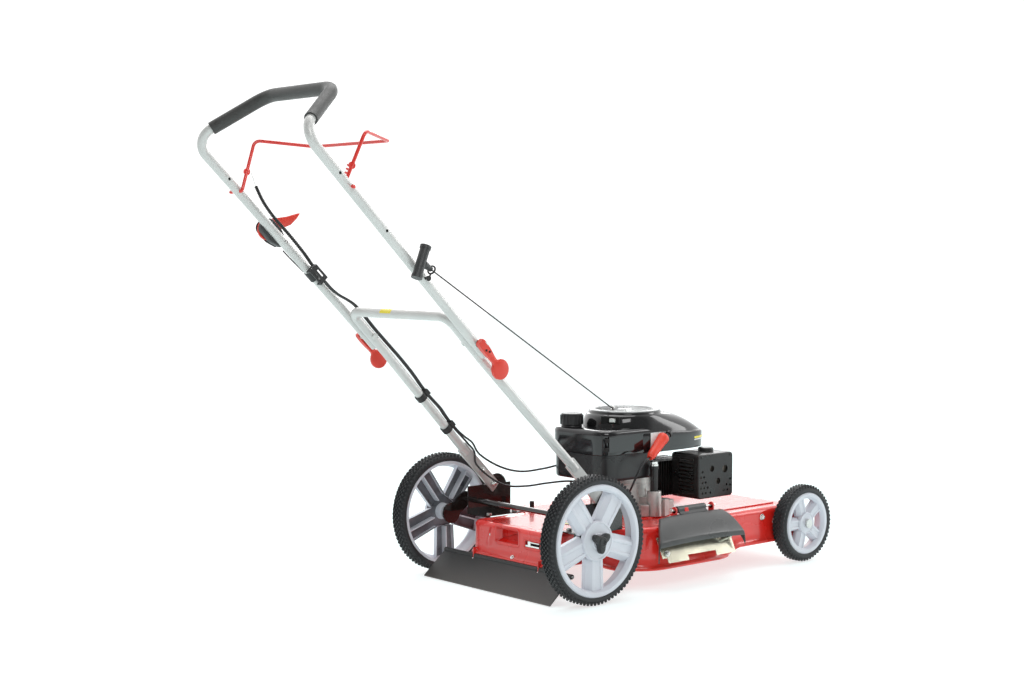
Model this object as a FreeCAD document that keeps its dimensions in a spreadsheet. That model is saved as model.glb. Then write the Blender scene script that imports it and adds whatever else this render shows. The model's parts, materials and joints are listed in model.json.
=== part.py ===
"""Push lawn mower, built as an assembly of separate sub-parts.

Frame: millimetres, +X forward, +Y to the left, +Z up. The origin is on the ground,
below the middle of the machine's bounding box.
"""
import FreeCAD
import Part
import Sketcher
import math
import os

from FreeCAD import Placement, Rotation, Vector

DRIVING = {
    # wheels
    "rear_axle_x": -76, "rear_wheel_r": 152.4, "rear_wheel_y": 281.5, "rear_wheel_width": 44,
    "rear_rim_r": 131.5, "rear_hub_r": 27,
    "front_axle_x": 724, "front_wheel_r": 102, "front_wheel_y": 246, "front_wheel_width": 41,
    "front_rim_r": 80.5, "front_hub_r": 20,
    "axle_r": 8, "running_gap": 0.05, "clearance": 0.4, "spokes": 5,
    # handle
    "tube_r": 11, "tube_bore_r": 9.6, "fold_x": -370, "fold_z": 620,
    "upper_tube_y": 208.5, "upper_top_y": 221, "lower_tube_y": 184.5, "lower_foot_y": 203,
    "upper_tilt": 44.4, "lower_tilt": 45.1, "crossbar_rise": 86, "upper_tail": 38,
    "splay_start": 55, "handle_top_z": 1074, "grip_x": -693, "grip_y": 131, "grip_z": 1174,
    "grip_r": 15, "fold_bolt_r": 4, "leg_flat_top_z": 318, "leg_flat_thick": 7,
    "leg_flat_width": 30, "leg_flat_length": 160, "paddle_r": 23,
    # bail, cables and starter
    "bail_pivot_z": 962, "bail_rod_r": 4, "bail_inside_y": 200.5, "bail_corner_x": -674,
    "bail_corner_y": 217, "bail_corner_z": 1079, "bail_bar_x": -560, "bail_bar_y": 143,
    "bail_bar_z": 1066, "cable_r": 2.6, "wire_r": 0.9, "rope_r": 1.8,
    "ring_x": -510, "ring_y": -230, "ring_z": 786, "rope_out_x": 262, "rope_out_z": 417,
    # deck
    "deck_top_z": 150, "deck_bottom_z": 45, "deck_wall": 3, "deck_rear_x": -92,
    "deck_front_x": 764, "deck_rear_y": 148, "deck_drum_y": 250, "deck_front_y": 222,
    "deck_front_z": 60, "deck_rear_z": 67, "deck_top_round": 14,
    "bracket_y": 206.5, "bracket_thick": 4, "bar_x": -30, "bar_z": 185, "bar_r": 7,
    "arm_y": 244, "arm_thick": 5, "flap_hinge_x": -101, "flap_hinge_z": 62, "flap_half": 238,
    "chute_y": -226, "chute_z": 181, "hinge_rod_r": 3,
    # engine
    "crank_x": 304, "crank_r": 11, "case_r": 76, "case_top_z": 292, "blade_z": 64,
    "blade_half": 232, "blade_width": 54, "flywheel_r": 86, "flywheel_z": 304,
    "housing_r": 111, "housing_z": 303, "housing_top_z": 358, "housing_front_x": 541,
    "housing_half": 95, "dome_top_z": 404, "grille_r": 87, "shell_wall": 3,
    "tank_rear_x": 130, "tank_front_x": 282, "tank_half": 105, "tank_z": 246,
    "tank_seam_z": 310, "tank_top_z": 374, "tank_round": 42, "cap_x": 165, "cap_y": 52, "cap_r": 29.5,
    "cylinder_x": 378, "cylinder_front_x": 470, "cylinder_z": 228, "fin_half": 46,
    "head_front_x": 500, "cover_front_x": 528, "oil_x": 294, "oil_y": -118, "oil_top_z": 278,
    "guard_x": 424, "guard_front_x": 557, "guard_y": -150, "guard_inner_y": -54,
    "guard_z": 183, "guard_top_z": 297, "guard_wall": 1.6,
}

document = FreeCAD.newDocument("lawn_mower")
sheet = document.addObject("Spreadsheet::Sheet", "sizes")
for row, (alias, number) in enumerate(DRIVING.items(), start=1):
    sheet.set(f"A{row}", alias)
    sheet.set(f"B{row}", str(number))
    sheet.setAlias(f"B{row}", alias)
document.recompute()

sub_parts = []
X = Vector(1, 0, 0)
Y = Vector(0, 1, 0)
Z = Vector(0, 0, 1)
SIDES = (("left", 1), ("right", -1))


class Size:
    """A number together with the sheet expression that it comes from."""

    def __init__(self, value, text):
        self.value = value
        self.text = text

    def __float__(self):
        return float(self.value)

    def combined(self, other, sign, result, swapped=False):
        first, second = self.text, expression(other)
        if swapped:
            first, second = second, first
        return Size(result, f"({first} {sign} {second})")

    def __add__(self, other):
        return self.combined(other, "+", self.value + float(other))

    def __radd__(self, other):
        return self.combined(other, "+", self.value + float(other), swapped=True)

    def __sub__(self, other):
        return self.combined(other, "-", self.value - float(other))

    def __rsub__(self, other):
        return self.combined(other, "-", float(other) - self.value, swapped=True)

    def __mul__(self, other):
        return self.combined(other, "*", self.value * float(other))

    __rmul__ = __mul__

    def __truediv__(self, other):
        return self.combined(other, "/", self.value / float(other))

    def __neg__(self):
        return self * -1


class Sheet:
    """Reads the driving sizes by name."""

    def __getattr__(self, alias):
        return Size(float(sheet.get(alias)), f"sizes.{alias}")


S = Sheet()


def expression(number):
    return number.text if isinstance(number, Size) else repr(float(number))


def bind(item, prop, number):
    if isinstance(number, Size):
        item.setExpression(prop, number.text)
    else:
        item.setExpression(prop, None)
        setattr(item, prop, float(number))


def vector(point):
    return Vector(*[float(number) for number in point])


def place(item, at=(0, 0, 0), turn=None):
    """Puts an object at a point, each coordinate bound to the sheet where it can be."""
    item.Placement = Placement(vector(at), turn or Rotation())
    for name, number in zip("xyz", at):
        if isinstance(number, Size):
            item.setExpression(f"Placement.Base.{name}", number.text)
    return item


def sub_part(item, label):
    item.Label = label
    sub_parts.append(item)
    return item


# ---------------------------------------------------------------- primitives and booleans

def box(size, at, turn=None):
    """A box from its lowest corner."""
    item = document.addObject("Part::Box", "box")
    for prop, number in zip(("Length", "Width", "Height"), size):
        bind(item, prop, number)
    return place(item, at, turn)


def span_box(x, y, z):
    """A box between two limits along each axis."""
    size = [limits[1] - limits[0] for limits in (x, y, z)]
    return box(size, (x[0], y[0], z[0]))


def rod(radius, length, at, along=Z):
    item = document.addObject("Part::Cylinder", "rod")
    bind(item, "Radius", radius)
    bind(item, "Height", length)
    return place(item, at, Rotation(Z, along))


def cross_rod(radius, y_from, y_to, x, z):
    """A rod along Y between two limits."""
    return rod(radius, y_to - y_from, (x, y_from, z), Y)


def cone(radius, end_radius, length, at, along=Z):
    item = document.addObject("Part::Cone", "cone")
    bind(item, "Radius1", radius)
    bind(item, "Radius2", end_radius)
    bind(item, "Height", length)
    return place(item, at, Rotation(Z, along))


def torus(radius, section, at, axis=Z):
    item = document.addObject("Part::Torus", "torus")
    bind(item, "Radius1", radius)
    bind(item, "Radius2", section)
    return place(item, at, Rotation(Z, axis))


def fused(*pieces):
    item = document.addObject("Part::MultiFuse", "fused")
    item.Shapes = list(pieces)
    item.Refine = True
    return item


def cut(base, *tools):
    item = document.addObject("Part::Cut", "cut")
    item.Base = base
    item.Tool = tools[0] if len(tools) == 1 else fused(*tools)
    item.Refine = True
    return item


def common(first, second):
    item = document.addObject("Part::Common", "common")
    item.Base = first
    item.Tool = second
    return item


def group(*pieces):
    """Separate solids that share one node."""
    item = document.addObject("Part::Compound", "group")
    item.Links = list(pieces)
    return item


def rounded(base, radius, chosen):
    """Rounds the edges of an object for which chosen(edge) is true."""
    document.recompute()
    item = document.addObject("Part::Fillet", "rounded")
    item.Base = base
    edges = [(number, float(radius), float(radius))
             for number, edge in enumerate(base.Shape.Edges, start=1) if chosen(edge)]
    item.Edges = edges
    return item


def upright(edge):
    """True for a straight edge along Z."""
    return edge.Curve.TypeId == "Part::GeomLine" and abs(edge.tangentAt(edge.FirstParameter).z) > 0.99


def at_height(level):
    """A test for edges that lie in one horizontal plane."""
    def test(edge):
        heights = [vertex.Z for vertex in edge.Vertexes]
        return all(abs(height - float(level)) < 0.01 for height in heights)
    return test


# ---------------------------------------------------------------- sketched bodies

def origin_plane(body, role):
    return next(item for item in body.Origin.OriginFeatures if item.Role == role)


def polygon_sketch(body, plane, points):
    """A closed outline whose corners are held by sheet-bound distances from the origin."""
    sketch = body.newObject("Sketcher::SketchObject", "outline")
    sketch.AttachmentSupport = [(origin_plane(body, plane), "")]
    sketch.MapMode = "FlatFace"
    corners = [Vector(float(x), float(y), 0) for x, y in points]
    for start, end in zip(corners, corners[1:] + corners[:1]):
        sketch.addGeometry(Part.LineSegment(start, end), False)
    for index in range(len(corners)):
        sketch.addConstraint(Sketcher.Constraint("Coincident", index, 2, (index + 1) % len(corners), 1))
    for index, point in enumerate(points):
        for kind, axis, number in (("DistanceX", -2, point[0]), ("DistanceY", -1, point[1])):
            if float(number) == 0:
                sketch.addConstraint(Sketcher.Constraint("PointOnObject", index, 1, axis))
                continue
            datum = Sketcher.Constraint(kind, -1, 1, index, 1, float(number))
            place_in_list = sketch.addConstraint(datum)
            if isinstance(number, Size):
                sketch.setExpression(f"Constraints[{place_in_list}]", number.text)
    return sketch


def padded(points, length, plane="XY_Plane", midplane=False, at=(0, 0, 0), turn=None):
    """A body with one outline padded to a length."""
    body = document.addObject("PartDesign::Body", "body")
    pad = body.newObject("PartDesign::Pad", "pad")
    pad.Profile = polygon_sketch(body, plane, points)
    bind(pad, "Length", length)
    pad.Midplane = midplane
    body.Tip = pad
    return place(body, at, turn)


def turned(points, at=(0, 0, 0), axis=Y):
    """A body turned about its own Y axis from an outline of (radius, height) points."""
    body = document.addObject("PartDesign::Body", "body")
    sketch = polygon_sketch(body, "XY_Plane", points)
    revolution = body.newObject("PartDesign::Revolution", "revolution")
    revolution.Profile = sketch
    revolution.ReferenceAxis = (sketch, ["V_Axis"])
    revolution.Angle = 360
    body.Tip = revolution
    return place(body, at, Rotation(Y, axis))


def round_pattern(body, feature, count):
    """Repeats a feature of a body about the body's Y axis."""
    pattern = body.newObject("PartDesign::PolarPattern", "pattern")
    pattern.Originals = [feature]
    pattern.Axis = (origin_plane(body, "Y_Axis"), [""])
    pattern.Angle = 360
    bind(pattern, "Occurrences", count)
    body.Tip = pattern


# ---------------------------------------------------------------- tubes and cables

def path_wire(points, bends):
    """Straight runs joined by tangent arcs. A bend of None is as large as its runs allow."""
    points = [vector(point) for point in points]
    edges = []
    start = points[0]
    for index in range(1, len(points) - 1):
        before = points[index] - points[index - 1]
        after = points[index + 1] - points[index]
        half_turn = before.getAngle(after) / 2
        radius = bends[index - 1]
        if radius is None:
            radius = 0.45 * min(before.Length, after.Length) / math.tan(half_turn)
        setback = float(radius) * math.tan(half_turn)
        before.normalize()
        after.normalize()
        arc_start = points[index] - before * setback
        arc_end = points[index] + after * setback
        inward = after - before
        inward.normalize()
        middle = points[index] + inward * (float(radius) / math.cos(half_turn) - float(radius))
        if (arc_start - start).Length > 1e-6:
            edges.append(Part.LineSegment(start, arc_start).toShape())
        edges.append(Part.Arc(arc_start, middle, arc_end).toShape())
        start = arc_end
    edges.append(Part.LineSegment(start, points[-1]).toShape())
    return Part.Wire(edges)


def swept(radius, points, bends):
    """The solid of a round section that follows a path."""
    path = path_wire(points, bends)
    direction = vector(points[1]) - vector(points[0])
    section = Part.Wire(Part.makeCircle(float(radius), vector(points[0]), direction))
    solid = path.makePipeShell([section], True, False)
    share = solid.Volume / (math.pi * float(radius) ** 2 * path.Length)
    if abs(share - 1) > 0.01:
        raise ValueError(f"a swept tube has {share:.3f} of its volume")
    return solid


def tube(radius, points, bends, bore=None):
    """A bent tube or rod, whose route no sketch can hold, because it isn't flat."""
    item = document.addObject("Part::Feature", "tube")
    shape = swept(radius, points, bends)
    if bore is not None:
        shape = shape.cut(swept(bore, points, bends))
    item.Shape = shape
    item.Placement = Placement()
    return item


def cable(radius, points):
    """A cable along hand-placed points, each bend as large as its runs allow."""
    free = [None] * (len(points) - 2)
    item = tube(radius, points, free)
    smallest = min(edge.Curve.Radius for edge in path_wire(points, free).Edges
                   if edge.Curve.TypeId == "Part::GeomCircle")
    print(f"cable of {path_wire(points, free).Length:.0f} mm, tightest bend {smallest:.0f} mm")
    return item


def mirrored(points):
    """The route from the left end to the right end of a symmetrical tube."""
    return points + [(x, -1 * y, z) for x, y, z in reversed(points)]


# ---------------------------------------------------------------- handle geometry

def upper_axis(distance, side=1):
    """A point on an upper tube's centre line, by its distance above the fold."""
    tilt = math.radians(float(S.upper_tilt))
    reach = max(distance - float(S.splay_start), 0)
    splay = (float(S.upper_top_y) - float(S.upper_tube_y)) / 595
    return (float(S.fold_x) - distance * math.cos(tilt),
            side * (float(S.upper_tube_y) + reach * splay),
            float(S.fold_z) + distance * math.sin(tilt))


def lower_axis(distance, side=1):
    """A point on a lower leg's centre line, by its distance below the fold."""
    tilt = math.radians(float(S.lower_tilt))
    reach = max(distance - float(S.splay_start), 0)
    splay = (float(S.lower_foot_y) - float(S.lower_tube_y)) / 370
    return (float(S.fold_x) + distance * math.cos(tilt),
            side * (float(S.lower_tube_y) + reach * splay),
            float(S.fold_z) - distance * math.sin(tilt))


def above_fold(height):
    """The distance along an upper tube to a height."""
    return (float(height) - float(S.fold_z)) / math.sin(math.radians(float(S.upper_tilt)))


def beside(point, across=0.0, lift=0.0, tilt=None):
    """A point moved inwards from a left-hand tube, and squarely off its top."""
    angle = math.radians(float(tilt if tilt is not None else S.lower_tilt))
    x, y, z = point
    return (x + lift * math.sin(angle), y - across, z + lift * math.cos(angle))


POD_TURN = Rotation(Y, float(S.upper_tilt))


def pod_point(length, across, depth):
    """A point of the throttle's clamp: along the left upper tube, across it, and square to both."""
    middle = Vector(-618, float(upper_axis(above_fold(866))[1]), 866)
    return tuple(middle + POD_TURN.multVec(Vector(length, across, depth)))


# ---------------------------------------------------------------- wheels

def wheel(name, side, axle_x, radius, rim_r, hub_r, width, middle_y):
    """A moulded rim with open windows between its spokes, and the tyre around it."""
    hole = S.axle_r + S.running_gap
    half = width / 2
    body = document.addObject("PartDesign::Body", "rim")
    web = 6
    sketch = polygon_sketch(body, "XY_Plane", [
        (hole, -half), (hub_r, -half), (hub_r, -web), (rim_r - 13, -web), (rim_r - 11, -half + 3),
        (rim_r, -half + 3), (rim_r, half - 3), (rim_r - 11, half - 3), (rim_r - 13, web),
        (hub_r, web), (hub_r, half), (hole, half)])
    disc = body.newObject("PartDesign::Revolution", "disc")
    disc.Profile = sketch
    disc.ReferenceAxis = (sketch, ["V_Axis"])
    disc.Angle = 360
    document.recompute()
    inner, outer = float(hub_r) + 7, float(rim_r) - 17
    step = math.pi / float(S.spokes)
    spoke_half = float(rim_r) * 0.115
    low = step - math.asin(spoke_half / inner)
    high = step - math.asin(spoke_half / outer)
    window = polygon_sketch(body, "XZ_Plane", [
        (inner * math.cos(low), -inner * math.sin(low)), (outer * math.cos(high), -outer * math.sin(high)),
        (outer / math.cos(high / 2) * 0.96, 0.001), (outer * math.cos(high), outer * math.sin(high)),
        (inner * math.cos(low), inner * math.sin(low))])
    opening = body.newObject("PartDesign::Pocket", "window")
    opening.Profile = window
    opening.Type = "ThroughAll"
    opening.Midplane = True
    body.Tip = opening
    round_pattern(body, opening, S.spokes)
    at = (axle_x, middle_y * side, radius)
    sub_part(place(body, at), f"{name}_rim_{'left' if side > 0 else 'right'}")
    shoulder = 9
    tyre = turned([
        (rim_r, -half + 3), (rim_r + 5, -half), (radius - shoulder, -half), (radius, -half + shoulder),
        (radius, half - shoulder), (radius - shoulder, half), (rim_r + 5, half), (rim_r, half - 3)])
    sub_part(place(tyre, at), f"{name}_tyre_{'left' if side > 0 else 'right'}")


def wheels():
    """All four wheels."""
    for _, side in SIDES:
        wheel("rear", side, S.rear_axle_x, S.rear_wheel_r, S.rear_rim_r, S.rear_hub_r,
              S.rear_wheel_width, S.rear_wheel_y)
        wheel("front", side, S.front_axle_x, S.front_wheel_r, S.front_rim_r, S.front_hub_r,
              S.front_wheel_width, S.front_wheel_y)


def front_axles():
    """Two shoulder bolts, with a head outside the wheel and a nut inside the deck wall."""
    bolts = []
    wall_inner = S.deck_front_y - S.deck_wall
    hub_outer = S.front_wheel_y + S.front_wheel_width / 2
    for _, side in SIDES:
        y_end = hub_outer + 0.5
        bolt = fused(
            rod(S.axle_r, y_end - S.deck_front_y, (S.front_axle_x, S.deck_front_y * side, S.front_wheel_r),
                Y * side),
            rod(12, 5, (S.front_axle_x, y_end * side, S.front_wheel_r), Y * side),
            rod(5, S.deck_wall + 8, (S.front_axle_x, (wall_inner - 8) * side, S.front_wheel_r), Y * side),
            rod(9, 6, (S.front_axle_x, (wall_inner - 6) * side, S.front_wheel_r), Y * side))
        bolts.append(bolt)
    sub_part(group(*bolts), "front_axle_bolts")


# ---------------------------------------------------------------- height adjustment

def height_bar():
    """The rear cross bar that carries both crank arms."""
    bar = cross_rod(S.bar_r, -S.arm_y, S.arm_y, S.bar_x, S.bar_z)
    sub_part(bar, "height_bar")


def crank_arms():
    """A plate at each end of the bar, with the stub axle of a rear wheel riveted in it."""
    arms = []
    reach = math.hypot(float(S.bar_x - S.rear_axle_x), float(S.bar_z - S.rear_wheel_r))
    along = vector((S.rear_axle_x - S.bar_x, 0, S.rear_wheel_r - S.bar_z))
    turn = Rotation(X, along)
    half_width = 19
    hub_outer = S.rear_wheel_y + S.rear_wheel_width / 2
    for _, side in SIDES:
        inner = S.arm_y if side > 0 else -S.arm_y - S.arm_thick
        corner = vector((S.bar_x, inner, S.bar_z)) + turn.multVec(Vector(0, 0, -half_width))
        plate = box((reach, S.arm_thick, 2 * half_width), tuple(corner), turn)
        ends = [rod(radius, S.arm_thick, (x, S.arm_y * side, z), Y * side)
                for radius, x, z in ((half_width, S.bar_x, S.bar_z), (27, S.rear_axle_x, S.rear_wheel_r))]
        axle = rod(S.axle_r, hub_outer + 12 - S.arm_y, (S.rear_axle_x, S.arm_y * side, S.rear_wheel_r),
                   Y * side)
        arms.append(fused(plate, *ends, axle))
    sub_part(group(*arms), "crank_arms")


def hub_knobs():
    """Three-lobed nuts on the ends of the rear axles."""
    knobs = []
    face = S.rear_wheel_y + S.rear_wheel_width / 2 + S.clearance
    for _, side in SIDES:
        lobes = []
        for number in range(3):
            angle = math.radians(90 + 120 * number)
            at = (S.rear_axle_x + 21 * math.cos(angle), face * side, S.rear_wheel_r + 21 * math.sin(angle))
            lobes.append(rod(8, 13, at, Y * side))
        middle = rod(20, 15, (S.rear_axle_x, face * side, S.rear_wheel_r), Y * side)
        bore = rod(S.axle_r, 12 - S.clearance, (S.rear_axle_x, face * side, S.rear_wheel_r), Y * side)
        knobs.append(cut(fused(middle, *lobes), bore))
    sub_part(group(*knobs), "hub_knobs")


# ---------------------------------------------------------------- handle

def upper_handle():
    """The upper tube: up both sides, then in and forward to the crossbar that is pushed."""
    half = [upper_axis(-float(S.upper_tail)), upper_axis(float(S.splay_start)),
            upper_axis(above_fold(S.handle_top_z)), (S.grip_x, S.grip_y, S.grip_z)]
    route = mirrored(half)
    bends = [400, 40, 55, 55, 40, 400]
    blank = tube(S.tube_r, route, bends, S.tube_bore_r)
    bail_x = upper_axis(above_fold(S.bail_pivot_z))[0]
    high_hole = upper_axis(above_fold(989))
    low_hole = upper_axis(above_fold(870))
    guide = upper_axis(above_fold(768))
    hole_r = S.bail_rod_r + S.running_gap
    tools = [cross_rod(S.fold_bolt_r + S.running_gap, -240, 240, S.fold_x, S.fold_z)]
    for _, side in SIDES:
        tools.append(rod(hole_r, 16, (bail_x, S.bail_inside_y * side, S.bail_pivot_z), Y * side))
        tools.append(rod(3.5, 40, (high_hole[0], 200 * side, high_hole[2]), Y * side))
    tools.append(rod(3.5, 40, (low_hole[0], -200, low_hole[2]), -Y))
    tools.append(rod(3, 40, (guide[0], -200, guide[2]), -Y))
    tools.append(rod(3.05, 40, pod_point(28, -20, 0), Y))
    sub_part(cut(blank, *tools), "upper_handle")


def foam_grip():
    """A foam sleeve over the crossbar and both of its slanted ends."""
    corner = vector(upper_axis(above_fold(S.handle_top_z)))
    end = vector((S.grip_x, S.grip_y, S.grip_z))
    start = corner + (end - corner).normalize() * 49
    route = mirrored([tuple(start), tuple(end)])
    sub_part(tube(S.grip_r, route, [55, 55], S.tube_r), "foam_grip")


def lower_handle():
    """An upside-down U of tube whose legs end in flat feet that are bolted down."""
    foot_start = (float(S.fold_z) - float(S.leg_flat_top_z)) / math.sin(math.radians(float(S.lower_tilt)))
    top = lower_axis(-float(S.crossbar_rise))
    half = [lower_axis(foot_start), lower_axis(float(S.splay_start)), top]
    blank = tube(S.tube_r, mirrored(half), [400, 30, 30, 400], S.tube_bore_r)
    turn = Rotation(Y, float(S.lower_tilt))
    feet = []
    for _, side in SIDES:
        start = vector(lower_axis(foot_start - 12, side))
        start.y = float(S.lower_foot_y) * side
        thick = float(S.leg_flat_thick)
        width = float(S.leg_flat_width)
        corner = start + turn.multVec(Vector(0, -thick / 2, -width / 2))
        foot = box((S.leg_flat_length, S.leg_flat_thick, S.leg_flat_width), tuple(corner), turn)
        tube_end = vector(lower_axis(foot_start, side))
        along = (tube_end - vector(lower_axis(foot_start - 14, side))).normalize()
        neck = rod(S.tube_r - 0.7, 26, tuple(tube_end - along * 14), along)
        holes = [rod(4.1, 40, tuple(vector(lower_axis(at, side)) - Y * 20), Y) for at in BOLT_PLACES]
        feet.append(cut(fused(foot, neck), *holes))
    bolt_hole = cross_rod(S.fold_bolt_r + S.running_gap, -240, 240, S.fold_x, S.fold_z)
    sub_part(cut(fused(blank, *feet), bolt_hole), "lower_handle")


BOLT_PLACES = (505, 558)


def fold_bolts():
    """The two bolts that the handle folds about, each with a cross hole for its cam lever."""
    bolts = []
    head_y = float(S.lower_tube_y - S.tube_r) - 0.4
    for _, side in SIDES:
        bolt = fused(
            rod(S.fold_bolt_r, CAM_PIN_Y + 4 - head_y, (S.fold_x, head_y * side, S.fold_z), Y * side),
            rod(7.5, 5, (S.fold_x, (head_y - 5) * side, S.fold_z), Y * side),
            rod(9, 1.5, (S.fold_x, float(S.upper_tube_y + S.tube_r) * side, S.fold_z), Y * side))
        hole = rod(1.6, 20, tuple(vector((S.fold_x, CAM_PIN_Y * side, S.fold_z)) - CAM_PIN_AXIS * 10),
                   CAM_PIN_AXIS)
        bolts.append(cut(bolt, hole))
    sub_part(group(*bolts), "fold_bolts")


CAM_PIN_Y = 230.5
CAM_LENGTH = Vector(0.673, 0, -0.740)
CAM_PIN_AXIS = Vector(0.740, 0, 0.673)


def cam_levers():
    """A forked lever with a round paddle, hinged on a pin through the end of each fold bolt."""
    turn = Rotation(CAM_LENGTH, Y, CAM_PIN_AXIS, "XYZ")
    for name, side in SIDES:
        pivot = vector((S.fold_x, CAM_PIN_Y * side, S.fold_z))

        def at(length, across, depth):
            return tuple(pivot + turn.multVec(Vector(length, across, depth)))

        fork = [box((52, 12, 3), at(-6, -6, depth), turn) for depth in (-8, 5)]
        bridge = box((30, 12, 16), at(16, -6, -8), turn)
        stem = box((30, 7, 18), at(40, -3.5, -9), turn)
        paddle = rod(S.paddle_r, 7, at(80, -3.5, 0), Y)
        pin = rod(1.55, 18, at(0, 0, -9), CAM_PIN_AXIS)
        sub_part(fused(*fork, bridge, stem, paddle, pin), f"cam_lever_{name}")


# ---------------------------------------------------------------- bail, throttle and cables

def bail_bar():
    """A bent rod whose ends hook into the handle's inner walls."""
    x = upper_axis(above_fold(S.bail_pivot_z))[0]
    half = [(x, 213, S.bail_pivot_z), (x, S.bail_inside_y, S.bail_pivot_z),
            (S.bail_corner_x, S.bail_corner_y, S.bail_corner_z),
            (S.bail_bar_x, S.bail_bar_y, S.bail_bar_z)]
    rod_shape = tube(S.bail_rod_r, mirrored(half), [5, 16, 12, 12, 16, 5])
    low = vector(half[1])
    up = (vector(half[2]) - low).normalize()
    tabs = []
    for _, side in SIDES:
        at = low + up * 48
        at.y *= side
        eye = fused(rod(8, 4, (at.x, at.y - 2, at.z), Y), cone(3.9, 3.9, 1, (at.x, at.y - 0.5, at.z), Y))
        tabs.append(cut(eye, rod(1.6, 12, (at.x + 4.5, at.y - 6, at.z), Y)))
    sub_part(fused(rod_shape, *tabs), "bail_bar")


def brake_wire():
    """The bare inner wire from the bail's left eye to the mouth of the ribbed sleeve."""
    start = Vector(-693, 202, 1003)
    end = vector(SLEEVE[0])
    wire = rod(S.wire_r, (end - start).Length, tuple(start), end - start)
    sub_part(wire, "brake_wire")


SLEEVE = [(-683, 200, 974), (-666, 195, 938), (-641, 188, 902), (-603, 186.5, 864), (-563, 188, 823),
          (-536, 190.5, 792)]


def cable_sleeve():
    """The ribbed boot that covers the brake cable above its bracket."""
    sub_part(cable(4.2, SLEEVE), "cable_sleeve")


def cable_bracket():
    """A slotted plate clamped across the inside of the left upper tube."""
    turn = Rotation(Y, float(S.upper_tilt))
    base = vector(upper_axis(above_fold(770)))
    inner = base - Y * (float(S.tube_r) + 19)

    def at(length, across, depth):
        return tuple(inner + turn.multVec(Vector(length, across, depth)))

    plate = box((44, 3, 26), at(-22, 0, -13), turn)
    ends = [box((3, 17.6, 26), at(x, 0, -13), turn) for x in (-22, 19)]
    slots = [box((22, 10, 5), at(-11, -4, depth), turn) for depth in (-8, 3)]
    passage = rod(4.4, 60, at(-30, 11, 0), turn.multVec(X))
    band = rod(S.tube_r + 2, 26, at(-13, float(S.tube_r) + 19, 0), turn.multVec(X))
    core = rod(S.tube_r + 0.8, 30, at(-15, float(S.tube_r) + 19, 0), turn.multVec(X))
    sub_part(cut(fused(plate, *ends, band), *slots, passage, core), "cable_bracket")


def throttle_housing():
    """The pod on the outside of the left upper tube, held by a screw through the tube."""
    turn, at = POD_TURN, pod_point
    outer = box((74, 20, 34), at(-40, 12.2, -17), turn)
    nose = rod(20, 20, at(-14, 12.2, 0), Y)
    slot = rod(27.5, 9, at(-14, 18, 0), Y)
    lever_way = box((80, 9, 60), at(-50, 18, 4), turn)
    screw_hole = rod(3, 40, at(28, -20.5, 0), Y)
    lever_screw = rod(4, 9.4, at(-14, 17.8, 0), Y)
    screw = fused(rod(3, 26, at(28, -13, 0), Y), rod(4.5, 2, at(28, -14.2, 0), Y))
    pod = cut(fused(outer, nose), slot, lever_way, screw_hole)
    sub_part(group(pod, lever_screw, screw), "throttle_housing")


def throttle_lever():
    """A thumb lever on a disc that turns inside the outer half of the throttle housing."""
    pivot = Vector(*pod_point(-14, 19, 0))
    disc = rod(26, 7, tuple(pivot), Y)
    thumb_turn = Rotation(Y, -24)
    thumb = box((62, 7, 9), tuple(pivot + thumb_turn.multVec(Vector(16, 0, 10))), thumb_turn)
    tip = box((26, 14, 5), tuple(pivot + thumb_turn.multVec(Vector(60, -3.5, 14))), Rotation(Y, -40))
    bore = rod(4.05, 20, tuple(pivot - Y * 5), Y)
    sub_part(cut(fused(disc, thumb, tip), bore), "throttle_lever")


def rope_direction():
    """The eye of the rope guide, where the rope leaves the engine, and the way between them."""
    ring = vector((S.ring_x, S.ring_y, S.ring_z))
    exit_point = Vector(float(S.rope_out_x), 0, float(S.rope_out_z))
    return ring, exit_point, (ring - exit_point).normalize()


def rope_guide():
    """A wire eye on a stalk that is bolted through the right upper tube."""
    ring, _, back = rope_direction()
    root = vector(upper_axis(above_fold(768), -1))
    foot = Vector(root.x, -float(S.upper_top_y) - 11.5, root.z)
    eye = torus(9, 2, tuple(ring), back)
    ring_edge = ring - Z.cross(back).cross(back).normalize() * -9
    stalk = tube(2, [tuple(foot + Y * 16), tuple(foot - Y * 4), tuple(ring_edge)], [5])
    collar = rod(6, 3, tuple(foot), Y * -1)
    sub_part(fused(eye, stalk, collar), "rope_guide")


def starter_handle():
    """A T-shaped pull whose stem is parked in the rope guide."""
    ring, _, back = rope_direction()
    stem = cone(5.5, 9, 30, tuple(ring + back * 3), back)
    upright_axis = Vector(0.12, 0, 1).cross(back).cross(back).normalize() * -1
    bar = rod(11, 76, tuple(ring + back * 42 - upright_axis * 38), upright_axis)
    ends = [rod(12.5, 7, tuple(ring + back * 42 + upright_axis * place_on), upright_axis)
            for place_on in (-38, 31)]
    bore = rod(S.rope_r + S.running_gap, 40, tuple(ring), back)
    sub_part(cut(fused(stem, bar, *ends), bore), "starter_handle")


def starter_rope():
    """The rope between the engine and the stem of the starter handle, pulled straight."""
    ring, exit_point, back = rope_direction()
    length = (ring - exit_point).Length + 2.5
    rope = rod(S.rope_r, length, tuple(exit_point), back)
    sub_part(rope, "starter_rope")


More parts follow.
